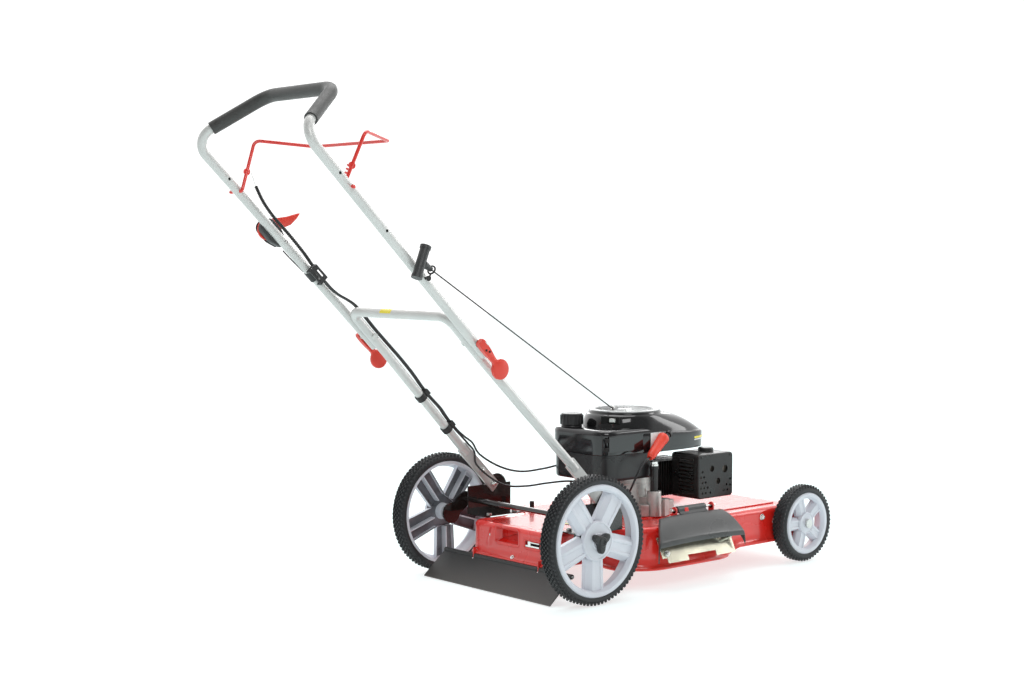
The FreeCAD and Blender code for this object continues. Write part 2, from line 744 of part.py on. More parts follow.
def lower_cables():
    """The throttle and brake cables, from the cable bracket, down the left leg, to the engine."""
    # distance below the fold, then how far the cable lies off the leg's centre line
    over_crossbar = ((-190, 0.2), (-162, 0.8), (-138, 5), (-114, 13), (-92, 18.5), (-66, 19.5), (-38, 18.5))
    along_leg = ((-6, 17.2), (48, 18), (102, 20), (155, 20), (202, 17), (242, 17), (284, 19.5), (320, 17),
                 (362, 17))
    throttle = [beside(lower_axis(distance), -0.5 + 7.5 * (distance + 190) / 184, lift)
                for distance, lift in over_crossbar]
    brake = [beside(lower_axis(distance), -7 + 6 * (distance + 190) / 184, lift)
             for distance, lift in over_crossbar]
    throttle += [beside(lower_axis(distance), 7, lift) for distance, lift in along_leg]
    brake += [beside(lower_axis(distance), -1, lift) for distance, lift in along_leg]
    throttle += [beside(lower_axis(distance), across, lift) for distance, across, lift in
                 ((392, 11, 19), (421, 19, 22))]
    brake += [beside(lower_axis(distance), across, lift) for distance, across, lift in
              ((394, 0, 18.5), (421, 4, 18), (446, 14, 13))]
    throttle += [(-36, 180, 306), (18, 166, 272), (74, 148, 256), (134, 128, 260), (196, 118, 268),
                 (258, 112, 270), (316, 104, 266)]
    brake += [(-40, 190, 281), (-6, 177, 246), (34, 158, 222), (86, 138, 218), (140, 122, 222),
              (196, 105, 224), (236, 84, 220)]
    sub_part(cable(S.cable_r, throttle), "throttle_cable")
    sub_part(cable(S.cable_r, brake), "brake_cable")


def throttle_link():
    """The short cable from the throttle housing down to the cable bracket."""
    route = [(-583, 243, 826), (-566, 243, 810), (-548, 240, 793), (-531, 235, 776)]
    sub_part(cable(1.6, route), "throttle_link")


def cable_clips():
    """Two rubber clips that hold both cables to the left leg."""
    turn = Rotation(Y, float(S.lower_tilt))
    clips = []
    for distance in (221, 341):
        middle = vector(lower_axis(distance))
        band = rod(S.tube_r + 3, 16, tuple(middle - turn.multVec(X) * 8), turn.multVec(X))
        core = rod(S.tube_r + 0.6, 20, tuple(middle - turn.multVec(X) * 10), turn.multVec(X))
        saddle = box((16, 20, 12), tuple(middle + turn.multVec(Vector(-8, -13, 9))), turn)
        ways = [rod(S.cable_r + 0.4, 30, tuple(middle + turn.multVec(Vector(-15, across, 17))),
                    turn.multVec(X)) for across in (-7, 1)]
        clips.append(cut(fused(band, saddle), core, *ways))
    sub_part(group(*clips), "cable_clips")


# ---------------------------------------------------------------- brackets and deck

def handle_brackets():
    """Two steel plates, each with a foot on the deck, that hold a leg and the height bar."""
    brackets = []
    low = S.deck_top_z + 0.2
    foot_depth = 62
    for _, side in SIDES:
        inner = S.bracket_y if side > 0 else -S.bracket_y - S.bracket_thick
        foot_y = S.bracket_y - foot_depth if side > 0 else -S.bracket_y - S.bracket_thick
        plate = box((142, S.bracket_thick, 72), (-52, inner, low))
        dome = rod(34, S.bracket_thick, (42, S.bracket_y * side, 214), Y * side)
        foot = box((142, foot_depth + S.bracket_thick, 3), (-52, foot_y, low))
        bores = [cross_rod(S.bar_r + S.running_gap, -260, 260, S.bar_x, S.bar_z)]
        for distance in BOLT_PLACES:
            x, _, z = lower_axis(distance)
            bores.append(cross_rod(4.1, -260, 260, x, z))
        brackets.append(cut(fused(plate, dome, foot), *bores))
    sub_part(group(*brackets), "handle_brackets")


def bracket_bolts():
    """The bolts of each bracket: two through the handle's flat foot, two into the deck."""
    bolts = []
    inner = float(S.lower_foot_y - S.leg_flat_thick / 2)
    outer = float(S.bracket_y + S.bracket_thick)
    top = S.deck_top_z + 3.2
    for _, side in SIDES:
        for distance in BOLT_PLACES:
            x, _, z = lower_axis(distance)
            bolts.append(fused(rod(4, outer + 9 - inner, (x, inner * side, z), Y * side),
                               rod(8, 5, (x, (inner - 5) * side, z), Y * side),
                               rod(7.5, 6, (x, outer * side, z), Y * side)))
        for x, y in ((-30, 150), (62, 158)):
            bolts.append(fused(rod(7, 5, (x, y * side, top)), rod(3.5, 1, (x, y * side, top + 4.5))))
    sub_part(group(*bolts), "bracket_bolts")


def deck_outline():
    """The deck in plan: a narrow rear, a round drum and a straight front."""
    half = [(S.deck_rear_x, S.deck_rear_y), (60, S.deck_rear_y + 2), (150, S.deck_drum_y),
            (410, S.deck_drum_y), (455, S.deck_front_y), (S.deck_front_x, S.deck_front_y)]
    return half + [(x, -1 * y) for x, y in reversed(half)]


def deck_body():
    """The pressed shell, open below: an outline padded, rounded, then hollowed."""
    body = document.addObject("PartDesign::Body", "deck")
    pad = body.newObject("PartDesign::Pad", "pad")
    pad.Profile = polygon_sketch(body, "XY_Plane", deck_outline())
    bind(pad, "Length", S.deck_top_z - S.deck_bottom_z)
    body.Tip = pad
    document.recompute()
    latest = pad
    for radius, x_from, x_to in ((30, -200, 0), (48, 40, 80), (100, 130, 430), (40, 440, 470),
                                 (30, 700, 900)):
        latest = body_fillet(body, latest, radius,
                             lambda edge: upright(edge) and x_from < edge.Vertexes[0].X < x_to)
    top = float(S.deck_top_z - S.deck_bottom_z)
    latest = body_fillet(body, latest, float(S.deck_top_round), at_height(top))
    shell = body.newObject("PartDesign::Thickness", "shell")
    bottom = next(number for number, face in enumerate(latest.Shape.Faces, start=1)
                  if abs(face.CenterOfMass.z) < 0.01)
    shell.Base = (latest, [f"Face{bottom}"])
    bind(shell, "Value", S.deck_wall)
    shell.Reversed = True
    shell.Join = 0
    body.Tip = shell
    return place(body, (0, 0, S.deck_bottom_z))


def body_fillet(body, base, radius, chosen):
    """Rounds the chosen edges of the latest feature in a body."""
    fillet = body.newObject("PartDesign::Fillet", "fillet")
    names = [f"Edge{number}" for number, edge in enumerate(base.Shape.Edges, start=1) if chosen(edge)]
    fillet.Base = (base, names)
    fillet.Radius = radius
    body.Tip = fillet
    document.recompute()
    return fillet


def deck_shell():
    """The deck with its discharge opening, rear window and slot, ears and hinge tabs."""
    shell = deck_body()
    wall = S.deck_wall
    rear = S.deck_rear_x
    chute = span_box((212, 412), (-262, -180), (70, 132))
    front_trim = span_box((470, 900), (-300, 300), (0, S.deck_front_z))
    rear_trim = span_box((-200, 40), (-300, 300), (0, S.deck_rear_z))
    slot = span_box((rear - 5, rear + 20), (-112, -12), (106, 122))
    crank_hole = rod(48, 60, (S.crank_x, 0, S.deck_top_z - 40))
    window = span_box((rear - 5, rear + 20), (-30, 46), (108, 136))
    bolt_holes = [cross_rod(5.05, -260, 260, S.front_axle_x, S.front_wheel_r)]
    bolt_holes += [cross_rod(4, -260, 260, 590 + 24 * number, 122 - 12 * number) for number in range(2)]
    pressed = cut(shell, chute, front_trim, rear_trim, slot, crank_hole, window, *bolt_holes)
    tray = cut(span_box((rear, rear + 14), (-32, 48), (106, 138)),
               span_box((rear - 5, rear + 12), (-30, 46), (108, 136)))
    ears = []
    for _, side in SIDES:
        ear_y = 120 if side > 0 else -124
        ears.append(span_box((S.flap_hinge_x - 5, rear + wall), (ear_y, ear_y + 4),
                             (S.deck_rear_z - 12, 88)))
    tabs = []
    for x in (254, 388):
        tabs.append(span_box((x, x + 4), (S.chute_y - 6, S.chute_y + 14), (136, S.chute_z + 6)))
    rods = [cross_rod(S.hinge_rod_r, -260, 260, S.flap_hinge_x, S.flap_hinge_z),
            rod(S.hinge_rod_r, 200, (230, S.chute_y, S.chute_z), X)]
    sub_part(cut(fused(pressed, tray, *ears, *tabs), *rods), "deck_shell")


def hinge_rods():
    """The steel rods of the rear flap and of the discharge deflector."""
    flap = cross_rod(S.hinge_rod_r, -S.flap_half - 4, S.flap_half + 4, S.flap_hinge_x, S.flap_hinge_z)
    chute = rod(S.hinge_rod_r, 158, (244, S.chute_y, S.chute_z), X)
    sub_part(group(flap, chute), "hinge_rods")


def rear_flap():
    """A rubber flap that trails behind the deck, hung from a rod."""
    turn = Rotation(Y, 180 - 40)
    hinge = (S.flap_hinge_x, 0, S.flap_hinge_z)
    barrel = cross_rod(6, -S.flap_half, S.flap_half, S.flap_hinge_x, S.flap_hinge_z)
    corner = vector(hinge) + turn.multVec(Vector(4, -float(S.flap_half), -1.5))
    sheet_part = box((88, S.flap_half * 2, 3), tuple(corner), turn)
    bore = cross_rod(S.hinge_rod_r + S.running_gap, -300, 300, S.flap_hinge_x, S.flap_hinge_z)
    gaps = [span_box((S.flap_hinge_x - 9, S.flap_hinge_x + 9), (y, y + 6), (S.flap_hinge_z - 9, 90))
            for y in (119, -125)]
    sub_part(cut(fused(barrel, sheet_part), bore, *gaps), "rear_flap")


def deflector():
    """The hood that turns the clippings down, hung from the deck's hinge rod, its ends slanting."""
    hinge_y, hinge_z = float(S.chute_y), float(S.chute_z)
    slope = padded([(-235, 168), (-256, 153), (-292, 124), (-297, 112), (-300, 112), (-296, 127),
                    (-258, 157), (-237, 171)], 400, "YZ_Plane", at=(100, 0, 0))
    cheek = padded([(-237, 169), (-258, 154), (-296, 124), (-299, 80), (-285, 78), (-268, 118), (-262, 144)],
                   400, "YZ_Plane", at=(100, 0, 0))
    plan = padded([(192, -234), (424, -234), (438, -301), (126, -301)], 200, at=(0, 0, 60))
    ends = group(padded([(192, -234), (195, -234), (129, -301), (126, -301)], 200, at=(0, 0, 60)),
                 padded([(421, -234), (424, -234), (438, -301), (435, -301)], 200, at=(0, 0, 60)))
    barrel = rod(6.5, 120, (262, hinge_y, hinge_z), X)
    neck = box((120, 12, 14), (262, hinge_y - 13, hinge_z - 14))
    bore = rod(S.hinge_rod_r + S.running_gap, 220, (220, hinge_y, hinge_z), X)
    sub_part(cut(fused(common(slope, plan), common(cheek, ends), barrel, neck), bore), "deflector")


def side_plate():
    """The plated steel guard below the deflector, with a notch in its lower edge."""
    plate = padded([(-254, 126), (-256, 126), (-284, 66), (-282, 66)], 258, "YZ_Plane", at=(162, 0, 0))
    notch = span_box((250, 350), (-300, -240), (50, 78))
    corner = span_box((150, 178), (-300, -240), (50, 78))
    bolts = [rod(5, 4, (x, -262, 108), Vector(0, -0.9, 0.42)) for x in (222, 404)]
    flange = span_box((206, 418), (-257, -250), (124, 127))
    sub_part(fused(cut(plate, notch, corner), flange, *bolts), "side_plate")


def wash_port():
    """A hose nipple on the deck that lets water in to rinse its inside."""
    port = fused(rod(9, 3, (115, 150, S.deck_top_z + 0.2)), rod(6, 24, (115, 150, S.deck_top_z + 0.2)))
    sub_part(cut(port, rod(3.5, 30, (115, 150, S.deck_top_z + 6))), "wash_port")


# ---------------------------------------------------------------- engine

def crankcase():
    """The cast base: a mounting flange, a ribbed drum and the joint for the cylinder."""
    base = float(S.deck_top_z) + 0.2
    flange = rod(98, 9, (S.crank_x, 0, base))
    drum = cone(S.case_r + 8, S.case_r, 84, (S.crank_x, 0, base + 9))
    top = rod(S.case_r - 12, S.case_top_z - base - 93, (S.crank_x, 0, base + 93))
    ribs = []
    for number in range(10):
        turn = Rotation(Z, 36 * number + 18)
        corner = Vector(float(S.crank_x), 0, base + 9) + turn.multVec(Vector(60, -2, 0))
        ribs.append(box((30, 4, 40), tuple(corner), turn))
    seat = span_box((S.crank_x + 40, S.cylinder_x), (-44, 44), (S.cylinder_z - 44, S.cylinder_z + 44))
    x, y = S.oil_x, S.oil_y
    neck = fused(rod(15, 46, (x, y, base)), span_box((x - 14, x + 14), (y, -70), (base + 9, base + 46)))
    bore = rod(S.crank_r + S.running_gap, 200, (S.crank_x, 0, base - 20))
    oil_way = rod(10, 60, (x, y, base + 14))
    cylinder_room = span_box((S.cylinder_x, 480), (-60, 60), (170, 290))
    sub_part(cut(fused(flange, drum, top, seat, neck, *ribs), bore, oil_way, cylinder_room), "crankcase")


def engine_cylinder():
    """The finned cylinder, lying forwards."""
    core = rod(33, S.cylinder_front_x - S.cylinder_x, (S.cylinder_x, 0, S.cylinder_z), X)
    half = S.fin_half
    fins = [box((2.6, half * 2, half * 2), (x, -half, S.cylinder_z - half))
            for x in range(384, 470, 9)]
    sub_part(fused(core, *fins), "engine_cylinder")


def cylinder_head():
    """The finned head and, in front of it, the valve cover."""
    half = S.fin_half
    head = box((8, half * 2, half * 2), (S.cylinder_front_x, -half, S.cylinder_z - half))
    depth = S.head_front_x - S.cylinder_front_x
    fins = [box((depth, 3, half * 2), (S.cylinder_front_x, y, S.cylinder_z - half))
            for y in range(-44, 45, 11)]
    cover = rounded(box((S.cover_front_x - S.head_front_x, 74, 70),
                        (S.head_front_x, -37, S.cylinder_z - 35)), 8,
                    lambda edge: abs(edge.tangentAt(edge.FirstParameter).x) > 0.99)
    sub_part(fused(head, *fins, cover), "cylinder_head")


def upright_block(x, y, z, corner_r, top_r=None):
    """A box with rounded upright corners and, if asked for, a rounded top edge."""
    block = rounded(span_box(x, y, z), corner_r, upright)
    return block if top_r is None else rounded(block, top_r, at_height(z[1]))


def fuel_tank():
    """A moulded tank that wraps round the back of the blower housing."""
    seam = S.tank_seam_z
    lower = upright_block((S.tank_rear_x + 3, S.tank_front_x), (3 - S.tank_half, S.tank_half - 3),
                          (S.tank_z, seam), S.tank_round)
    upper = upright_block((S.tank_rear_x, S.tank_front_x + 3), (-S.tank_half, S.tank_half),
                          (seam, S.tank_top_z), S.tank_round, 10)
    neck = rod(20, 12, (S.cap_x, S.cap_y, S.tank_top_z - 2))
    room = rod(S.housing_r + 1.5, 300, (S.crank_x, 0, S.tank_z - 20))
    outside = cut(fused(lower, upper, neck), room)
    wall = S.shell_wall
    hollow = upright_block((S.tank_rear_x + 3 + wall, 230), (3 + wall - S.tank_half, S.tank_half - 3 - wall),
                           (S.tank_z + wall, S.tank_top_z - wall), 34)
    inner_room = rod(S.housing_r + 1.5 + wall, 300, (S.crank_x, 0, S.tank_z - 20))
    mouth = rod(16, 60, (S.cap_x, S.cap_y, S.tank_top_z - 20))
    sub_part(cut(outside, cut(hollow, inner_room), mouth), "fuel_tank")


def fuel_cap():
    """A ribbed screw cap over the tank's neck."""
    base = S.tank_top_z + 6.6
    body = cone(S.cap_r, S.cap_r - 3, 28, (S.cap_x, S.cap_y, base))
    ribs = []
    reach = S.cap_r - 1.5
    for number in range(18):
        angle = math.radians(20 * number)
        at = (S.cap_x + reach * math.cos(angle), S.cap_y + reach * math.sin(angle), base + 1)
        ribs.append(rod(2, 23, at))
    room = rod(20.4, 10, (S.cap_x, S.cap_y, base - 0.4))
    sub_part(cut(fused(body, *ribs), room), "fuel_cap")


def housing_solid(grow, bottom, top):
    """The blower housing's outline in plan, moved in or out by a distance."""
    drum = rod(S.housing_r + grow, top - bottom, (S.crank_x, 0, bottom))
    front = rounded(span_box((S.crank_x, S.housing_front_x + grow),
                             (-S.housing_half - grow, S.housing_half + grow), (bottom, top)),
                    58, lambda edge: upright(edge) and edge.Vertexes[0].X > 400)
    return fused(drum, front)


def blower_housing():
    """The black shroud: a skirt, a sloping front and a dome with a round mouth."""
    wall = S.shell_wall
    outer = housing_solid(0, S.housing_z, S.housing_top_z)
    slope = padded([(S.crank_x + 40, S.housing_top_z + 30), (S.crank_x + 60, S.housing_top_z + 40),
                    (600, S.housing_top_z + 40), (600, S.housing_top_z - 30)], 300, "XZ_Plane", True)
    dome = cone(S.housing_r - 3, S.grille_r + 6, S.dome_top_z - S.housing_top_z,
                (S.crank_x, 0, S.housing_top_z))
    ramp = padded([(S.crank_x, S.housing_top_z - 20), (520, S.housing_top_z - 20),
                   (S.crank_x, S.dome_top_z - 10)], 150, "XZ_Plane", True)
    shell = fused(cut(outer, slope), dome, ramp)
    inside = housing_solid(-wall, S.housing_z - 1, S.housing_top_z - 34)
    front_underside = span_box((396, 600), (-200, 200), (S.housing_z - 5, S.housing_z + 15))
    flywheel_room = rod(S.housing_r - 8, 60, (S.crank_x, 0, S.housing_z - 1))
    upper_room = cone(S.housing_r - 12, S.grille_r - 4, S.dome_top_z - S.housing_top_z + 4,
                      (S.crank_x, 0, S.housing_top_z - 4))
    mouth = rod(S.grille_r - 8, 30, (S.crank_x, 0, S.dome_top_z - 20))
    plug_way = rod(16, 130, tuple(BOOT_TOP - BOOT_AXIS * 60), BOOT_AXIS)
    _, rope_exit, rope_back = rope_direction()
    rope_way = rod(6, 60, tuple(rope_exit - rope_back * 30), rope_back)
    tools = [inside, front_underside, flywheel_room, upper_room, mouth, plug_way, rope_way]
    sub_part(cut(shell, *tools), "blower_housing")


def starter_grille():
    """The louvred disc on top of the blower housing."""
    top = S.dome_top_z + 0.2
    disc = rod(S.grille_r, 9, (S.crank_x, 0, top))
    hollow = rod(S.grille_r - 9, 6, (S.crank_x, 0, top - 1))
    slots = []
    for number in range(36):
        turn = Rotation(Z, 10 * number)
        corner = Vector(float(S.crank_x), 0, float(top)) + turn.multVec(Vector(34, -2.2, -2))
        slots.append(box((38, 4.4, 14), tuple(corner), turn))
    sub_part(cut(disc, hollow, *slots), "starter_grille")


BOOT_LOW = Vector(268, -136, 301)
BOOT_TOP = Vector(337, -116, 345)
BOOT_AXIS = (BOOT_TOP - BOOT_LOW).normalize()


def spark_plug():
    """The spark plug, in line with its boot."""
    axis = BOOT_AXIS
    plug = fused(rod(3, 14, tuple(BOOT_TOP - axis * 12), axis), rod(6, 16, tuple(BOOT_TOP + axis * 1), axis),
                 rod(9, 7, tuple(BOOT_TOP + axis * 16), axis))
    sub_part(plug, "spark_plug")


def plug_boot():
    """The rubber cap over the plug's end."""
    direction = BOOT_TOP - BOOT_LOW
    boot = cone(8, 12.5, direction.Length, tuple(BOOT_LOW), direction)
    collar = torus(12, 1.6, tuple(BOOT_TOP - direction.normalize() * 3), direction)
    socket = rod(6.3, 14, tuple(BOOT_TOP - BOOT_AXIS * 12.5), BOOT_AXIS)
    sub_part(cut(fused(boot, collar), socket), "plug_boot")


def plug_lead():
    """The lead from the boot down behind the tank."""
    route = [(266.8, -136.4, 300.2), (252, -140, 289), (242, -137, 270), (240, -126, 248), (248, -110, 232)]
    sub_part(cable(2.8, route), "plug_lead")


def oil_tube():
    """The filler tube that stands on the right of the crankcase."""
    low = S.deck_top_z + 14.3
    outside = fused(rod(10, S.oil_top_z - low, (S.oil_x, S.oil_y, low)),
                    rod(12, 8, (S.oil_x, S.oil_y, S.oil_top_z - 8)))
    sub_part(cut(outside, rod(7.5, 200, (S.oil_x, S.oil_y, low + 3))), "oil_tube")


def oil_cap():
    """The dipstick's head, which turns in the top of the filler tube."""
    top = S.oil_top_z
    head = fused(rod(11, 4, (S.oil_x, S.oil_y, top + 0.4)),
                 box((20, 5, 8), (S.oil_x - 10, S.oil_y - 2.5, top + 2)),
                 rod(7.4, 10, (S.oil_x, S.oil_y, top - 9)), rod(1.5, 92, (S.oil_x, S.oil_y, top - 100)))
    sub_part(head, "oil_cap")


def lengthwise(edge):
    """Whether an edge runs along Y."""
    return abs(edge.tangentAt(edge.FirstParameter).y) > 0.99


def muffler_guard():
    """A sheet cover with louvres behind, holes on its outer face and an open inner side."""
    wall = S.guard_wall
    x = (S.guard_x, S.guard_front_x)
    y = (S.guard_y, S.guard_inner_y)
    z = (S.guard_z, S.guard_top_z)
    outside = rounded(span_box(x, y, z), 7, lengthwise)
    room = span_box((x[0] + wall, x[1] - wall), (y[0] + wall, y[1] + 5), (z[0] + wall, z[1] - wall))
    hollow = rounded(room, 5.4, lengthwise)
    tools = [hollow]
    for number in range(9):
        low = S.guard_z + 16 + 10 * number
        tools.append(span_box((x[0] - 5, x[0] + 5), (-134, -84), (low, low + 4)))
    for dx, dz, radius in ((52, 76, 8), (102, 72, 10), (76, 42, 8)):
        tools.append(rod(radius, 10, (x[0] + dx, y[0] - 5, z[0] + dz), Y))
    for dx, dz in ((16, 14), (28, 14), (46, 14), (10, 28), (22, 28), (36, 28), (16, 42), (28, 42), (10, 56),
                   (22, 56), (16, 70), (98, 16), (112, 16), (122, 28), (108, 30), (122, 44)):
        tools.append(rod(3.1, 10, (x[0] + dx, y[0] - 5, z[0] + dz), Y))
    lid = rod(20, 8, (505, -100, S.guard_top_z))
    sub_part(fused(cut(outside, *tools), lid), "muffler_guard")


def muffler():
    """The muffler's can inside its guard, with its inlet pipe and outlet."""
    can = upright_block((434, 548), (-142, -64), (187, 282), 14)
    pipe = rod(11, 20, (452, -66, S.cylinder_z), Y)
    sub_part(cut(fused(can, pipe), rod(8, 200, (548, -100, 210), X)), "muffler")


def air_filter():
    """The air filter box on the engine's left, with its clipped cover."""
    case = rounded(upright_block((372, 462), (74, 128), (196, 288), 12), 4,
                   lambda edge: abs(edge.Vertexes[0].Y - 128) < 12 and abs(edge.Vertexes[-1].Y - 128) < 12
                   and abs(edge.Vertexes[0].Z - edge.Vertexes[-1].Z) < 0.01)
    clips = [span_box((x, x + 10), (110, 130), (284, 290.5)) for x in (386, 438)]
    sub_part(fused(case, *clips), "air_filter")


def carburettor():
    """The carburettor's body, bowl and throttle arm."""
    body = fused(rod(17, 26, (420, 47.5, 236), Y), rod(14, 24, (420, 60, 204)),
                 rod(9, 12, (396, 60, 240), X), span_box((345, 398), (56, 64), (252, 256)))
    sub_part(body, "carburettor")


# ---------------------------------------------------------------- what the engine turns

def crankshaft():
    """The upright shaft that turns the flywheel and the blade."""
    shaft = fused(rod(S.crank_r, 322 - float(S.blade_z), (S.crank_x, 0, S.blade_z + 4)),
                  cone(S.crank_r, 7, 18, (S.crank_x, 0, 326)))
    sub_part(cut(shaft, rod(4.05, 40, (S.crank_x, 0, S.blade_z))), "crankshaft")


def blade():
    """A straight bar with turned-up wings and ground edges at both ends."""
    half, width = S.blade_half, S.blade_width
    bar = span_box((S.crank_x - half, S.crank_x + half), (-width / 2, width / 2),
                   (S.blade_z, S.blade_z + 3.2))
    wings = []
    for side in (1, -1):
        x_from = S.crank_x + half - 70 if side > 0 else S.crank_x - half
        wing = padded([(-16 * side, 0), (-27 * side, 13), (-29 * side, 12), (-19 * side, 0)], 70, "YZ_Plane",
                      at=(x_from, 0, S.blade_z))
        wings.append(wing)
    holes = [rod(4.05, 20, (S.crank_x, 0, S.blade_z - 5))]
    holes += [rod(4, 20, (S.crank_x + 24 * side, 0, S.blade_z - 5)) for side in (1, -1)]
    sub_part(cut(fused(bar, *wings), *holes), "blade")


def blade_adapter():
    """The carrier that is keyed to the shaft and clamps the blade."""
    low = S.blade_z + 3.2
    adapter = fused(rod(34, 6, (S.crank_x, 0, low)), rod(20, 34, (S.crank_x, 0, low)))
    bore = rod(S.crank_r, 50, (S.crank_x, 0, low + 0.8))
    sub_part(cut(adapter, bore, rod(4.05, 10, (S.crank_x, 0, low - 5))), "blade_adapter")


def blade_bolt():
    """The bolt and washer below the blade."""
    bolt = fused(rod(4, 34, (S.crank_x, 0, S.blade_z - 1)), rod(14, 2.5, (S.crank_x, 0, S.blade_z - 2.5)),
                 rod(9, 6, (S.crank_x, 0, S.blade_z - 8.5)))
    sub_part(bolt, "blade_bolt")


def flywheel():
    """The finned flywheel below the shroud, with the starter's cup on top."""
    low = S.flywheel_z
    rim = rod(S.flywheel_r, 14, (S.crank_x, 0, low))
    fins = []
    for number in range(20):
        turn = Rotation(Z, 18 * number)
        corner = Vector(float(S.crank_x), 0, float(low) + 13) + turn.multVec(Vector(52, -1.5, 0))
        fins.append(box((32, 3, 22), tuple(corner), turn))
    cup = rod(46, 48, (S.crank_x, 0, low + 13))
    bore = rod(S.crank_r, 20, (S.crank_x, 0, low - 1))
    cup_room = rod(42, 46, (S.crank_x, 0, low + 17))
    sub_part(cut(fused(rim, cup, *fins), bore, cup_room), "flywheel")


# ---------------------------------------------------------------- build, test and write

def check(item):
    """Stops the build if a feature failed."""
    if "Invalid" in item.State or "Error" in item.State:
        raise RuntimeError(f"{item.Name} ({item.TypeId}) failed: {item.State}")


def main():
    """Builds every sub-part, tests it and writes its STEP file."""
    for build in (wheels, front_axles, height_bar, crank_arms, hub_knobs, upper_handle, foam_grip,
                  lower_handle, fold_bolts, cam_levers, bail_bar, brake_wire, cable_sleeve, cable_bracket,
                  throttle_housing, throttle_lever, rope_guide, starter_handle, starter_rope,
                  lower_cables, throttle_link, cable_clips, handle_brackets, bracket_bolts,
                  deck_shell, hinge_rods, rear_flap, deflector, side_plate, wash_port, crankcase,
                  engine_cylinder, cylinder_head, fuel_tank, fuel_cap, blower_housing, starter_grille,
                  spark_plug, plug_boot, plug_lead, oil_tube, oil_cap, muffler_guard, muffler, air_filter,
                  carburettor, crankshaft, blade, blade_adapter, blade_bolt, flywheel):
        build()
        document.recompute()
    for item in document.Objects:
        check(item)
    os.makedirs("parts", exist_ok=True)
    everything = Part.makeCompound([item.Shape for item in sub_parts])
    for item in sub_parts:
        if item.Shape.isNull() or not item.Shape.isValid() or not item.Shape.Solids:
            raise RuntimeError(f"{item.Label} has no valid solid")
    for item in sub_parts:
        item.Shape.exportStep(f"parts/{item.Label}.step")
    bounds = everything.BoundBox
    print(f"{len(sub_parts)} sub-parts; x {bounds.XMin:.1f} to {bounds.XMax:.1f}, "
          f"y {bounds.YMin:.1f} to {bounds.YMax:.1f}, z {bounds.ZMin:.1f} to {bounds.ZMax:.1f}")


main()
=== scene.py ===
"""The looks of the push lawn mower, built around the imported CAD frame."""

import json
import math

import bmesh
import bpy
from mathutils import Matrix, Vector


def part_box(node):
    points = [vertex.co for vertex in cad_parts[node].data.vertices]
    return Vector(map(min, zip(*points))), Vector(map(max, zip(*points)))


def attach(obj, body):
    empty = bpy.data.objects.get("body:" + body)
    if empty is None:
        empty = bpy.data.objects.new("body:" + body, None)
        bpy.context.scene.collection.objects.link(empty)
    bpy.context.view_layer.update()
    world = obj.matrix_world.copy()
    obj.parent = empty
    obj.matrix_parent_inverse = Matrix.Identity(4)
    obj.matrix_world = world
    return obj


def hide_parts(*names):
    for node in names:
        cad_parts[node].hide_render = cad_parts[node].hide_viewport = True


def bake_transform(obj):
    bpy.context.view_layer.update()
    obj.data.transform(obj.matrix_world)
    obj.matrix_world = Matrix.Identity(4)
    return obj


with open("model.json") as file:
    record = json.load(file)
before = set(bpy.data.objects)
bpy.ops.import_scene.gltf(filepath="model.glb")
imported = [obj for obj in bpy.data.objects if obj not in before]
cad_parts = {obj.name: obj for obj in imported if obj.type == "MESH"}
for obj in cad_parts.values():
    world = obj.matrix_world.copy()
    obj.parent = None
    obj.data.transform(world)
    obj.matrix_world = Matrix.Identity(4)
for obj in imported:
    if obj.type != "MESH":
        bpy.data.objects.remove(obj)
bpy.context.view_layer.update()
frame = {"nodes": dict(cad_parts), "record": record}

NODES = frame["nodes"]
SLOT_OF = {part["node"]: part["material_slot"] for part in frame["record"]["subparts"]}
X, Y, Z = Vector((1, 0, 0)), Vector((0, 1, 0)), Vector((0, 0, 1))
TILT = math.radians(44.4)
FOLD_X, FOLD_Z = -0.370, 0.620
REAR_R, FRONT_R = 0.1524, 0.102
REAR_AXLE_X, HUB_FACE = -0.076, 0.3039
HINGE_Y, HINGE_Z = -0.226, 0.181
COAT_ROUGH = 0.06
WHITE = (1, 1, 1, 1)


# ---------------------------------------------------------------- materials

def noise(nodes, links, coordinates, scale, detail=3.0, stretch=None):
    """A noise texture over object coordinates, optionally stretched along an axis."""
    texture = nodes.new("ShaderNodeTexNoise")
    texture.inputs["Scale"].default_value = scale
    texture.inputs["Detail"].default_value = detail
    source = coordinates
    if stretch is not None:
        mapping = nodes.new("ShaderNodeMapping")
        mapping.inputs["Scale"].default_value = stretch
        links.new(source, mapping.inputs["Vector"])
        source = mapping.outputs["Vector"]
    links.new(source, texture.inputs["Vector"])
    return texture.outputs["Fac"]


def ranged(nodes, links, source, low, high, source_low=0.3, source_high=0.7):
    """A factor spread over a range of values."""
    spread = nodes.new("ShaderNodeMapRange")
    spread.inputs["From Min"].default_value = source_low
    spread.inputs["From Max"].default_value = source_high
    spread.inputs["To Min"].default_value = low
    spread.inputs["To Max"].default_value = high
    links.new(source, spread.inputs["Value"])
    return spread.outputs["Result"]


def mixed(nodes, links, factor, first, second):
    """A colour between two colours, or between a colour and a linked one."""
    mix = nodes.new("ShaderNodeMix")
    mix.data_type = "RGBA"
    links.new(factor, mix.inputs["Factor"])
    for socket, value in ((mix.inputs[6], first), (mix.inputs[7], second)):
        if isinstance(value, tuple):
            socket.default_value = (*value, 1)
        else:
            links.new(value, socket)
    return mix.outputs[2]


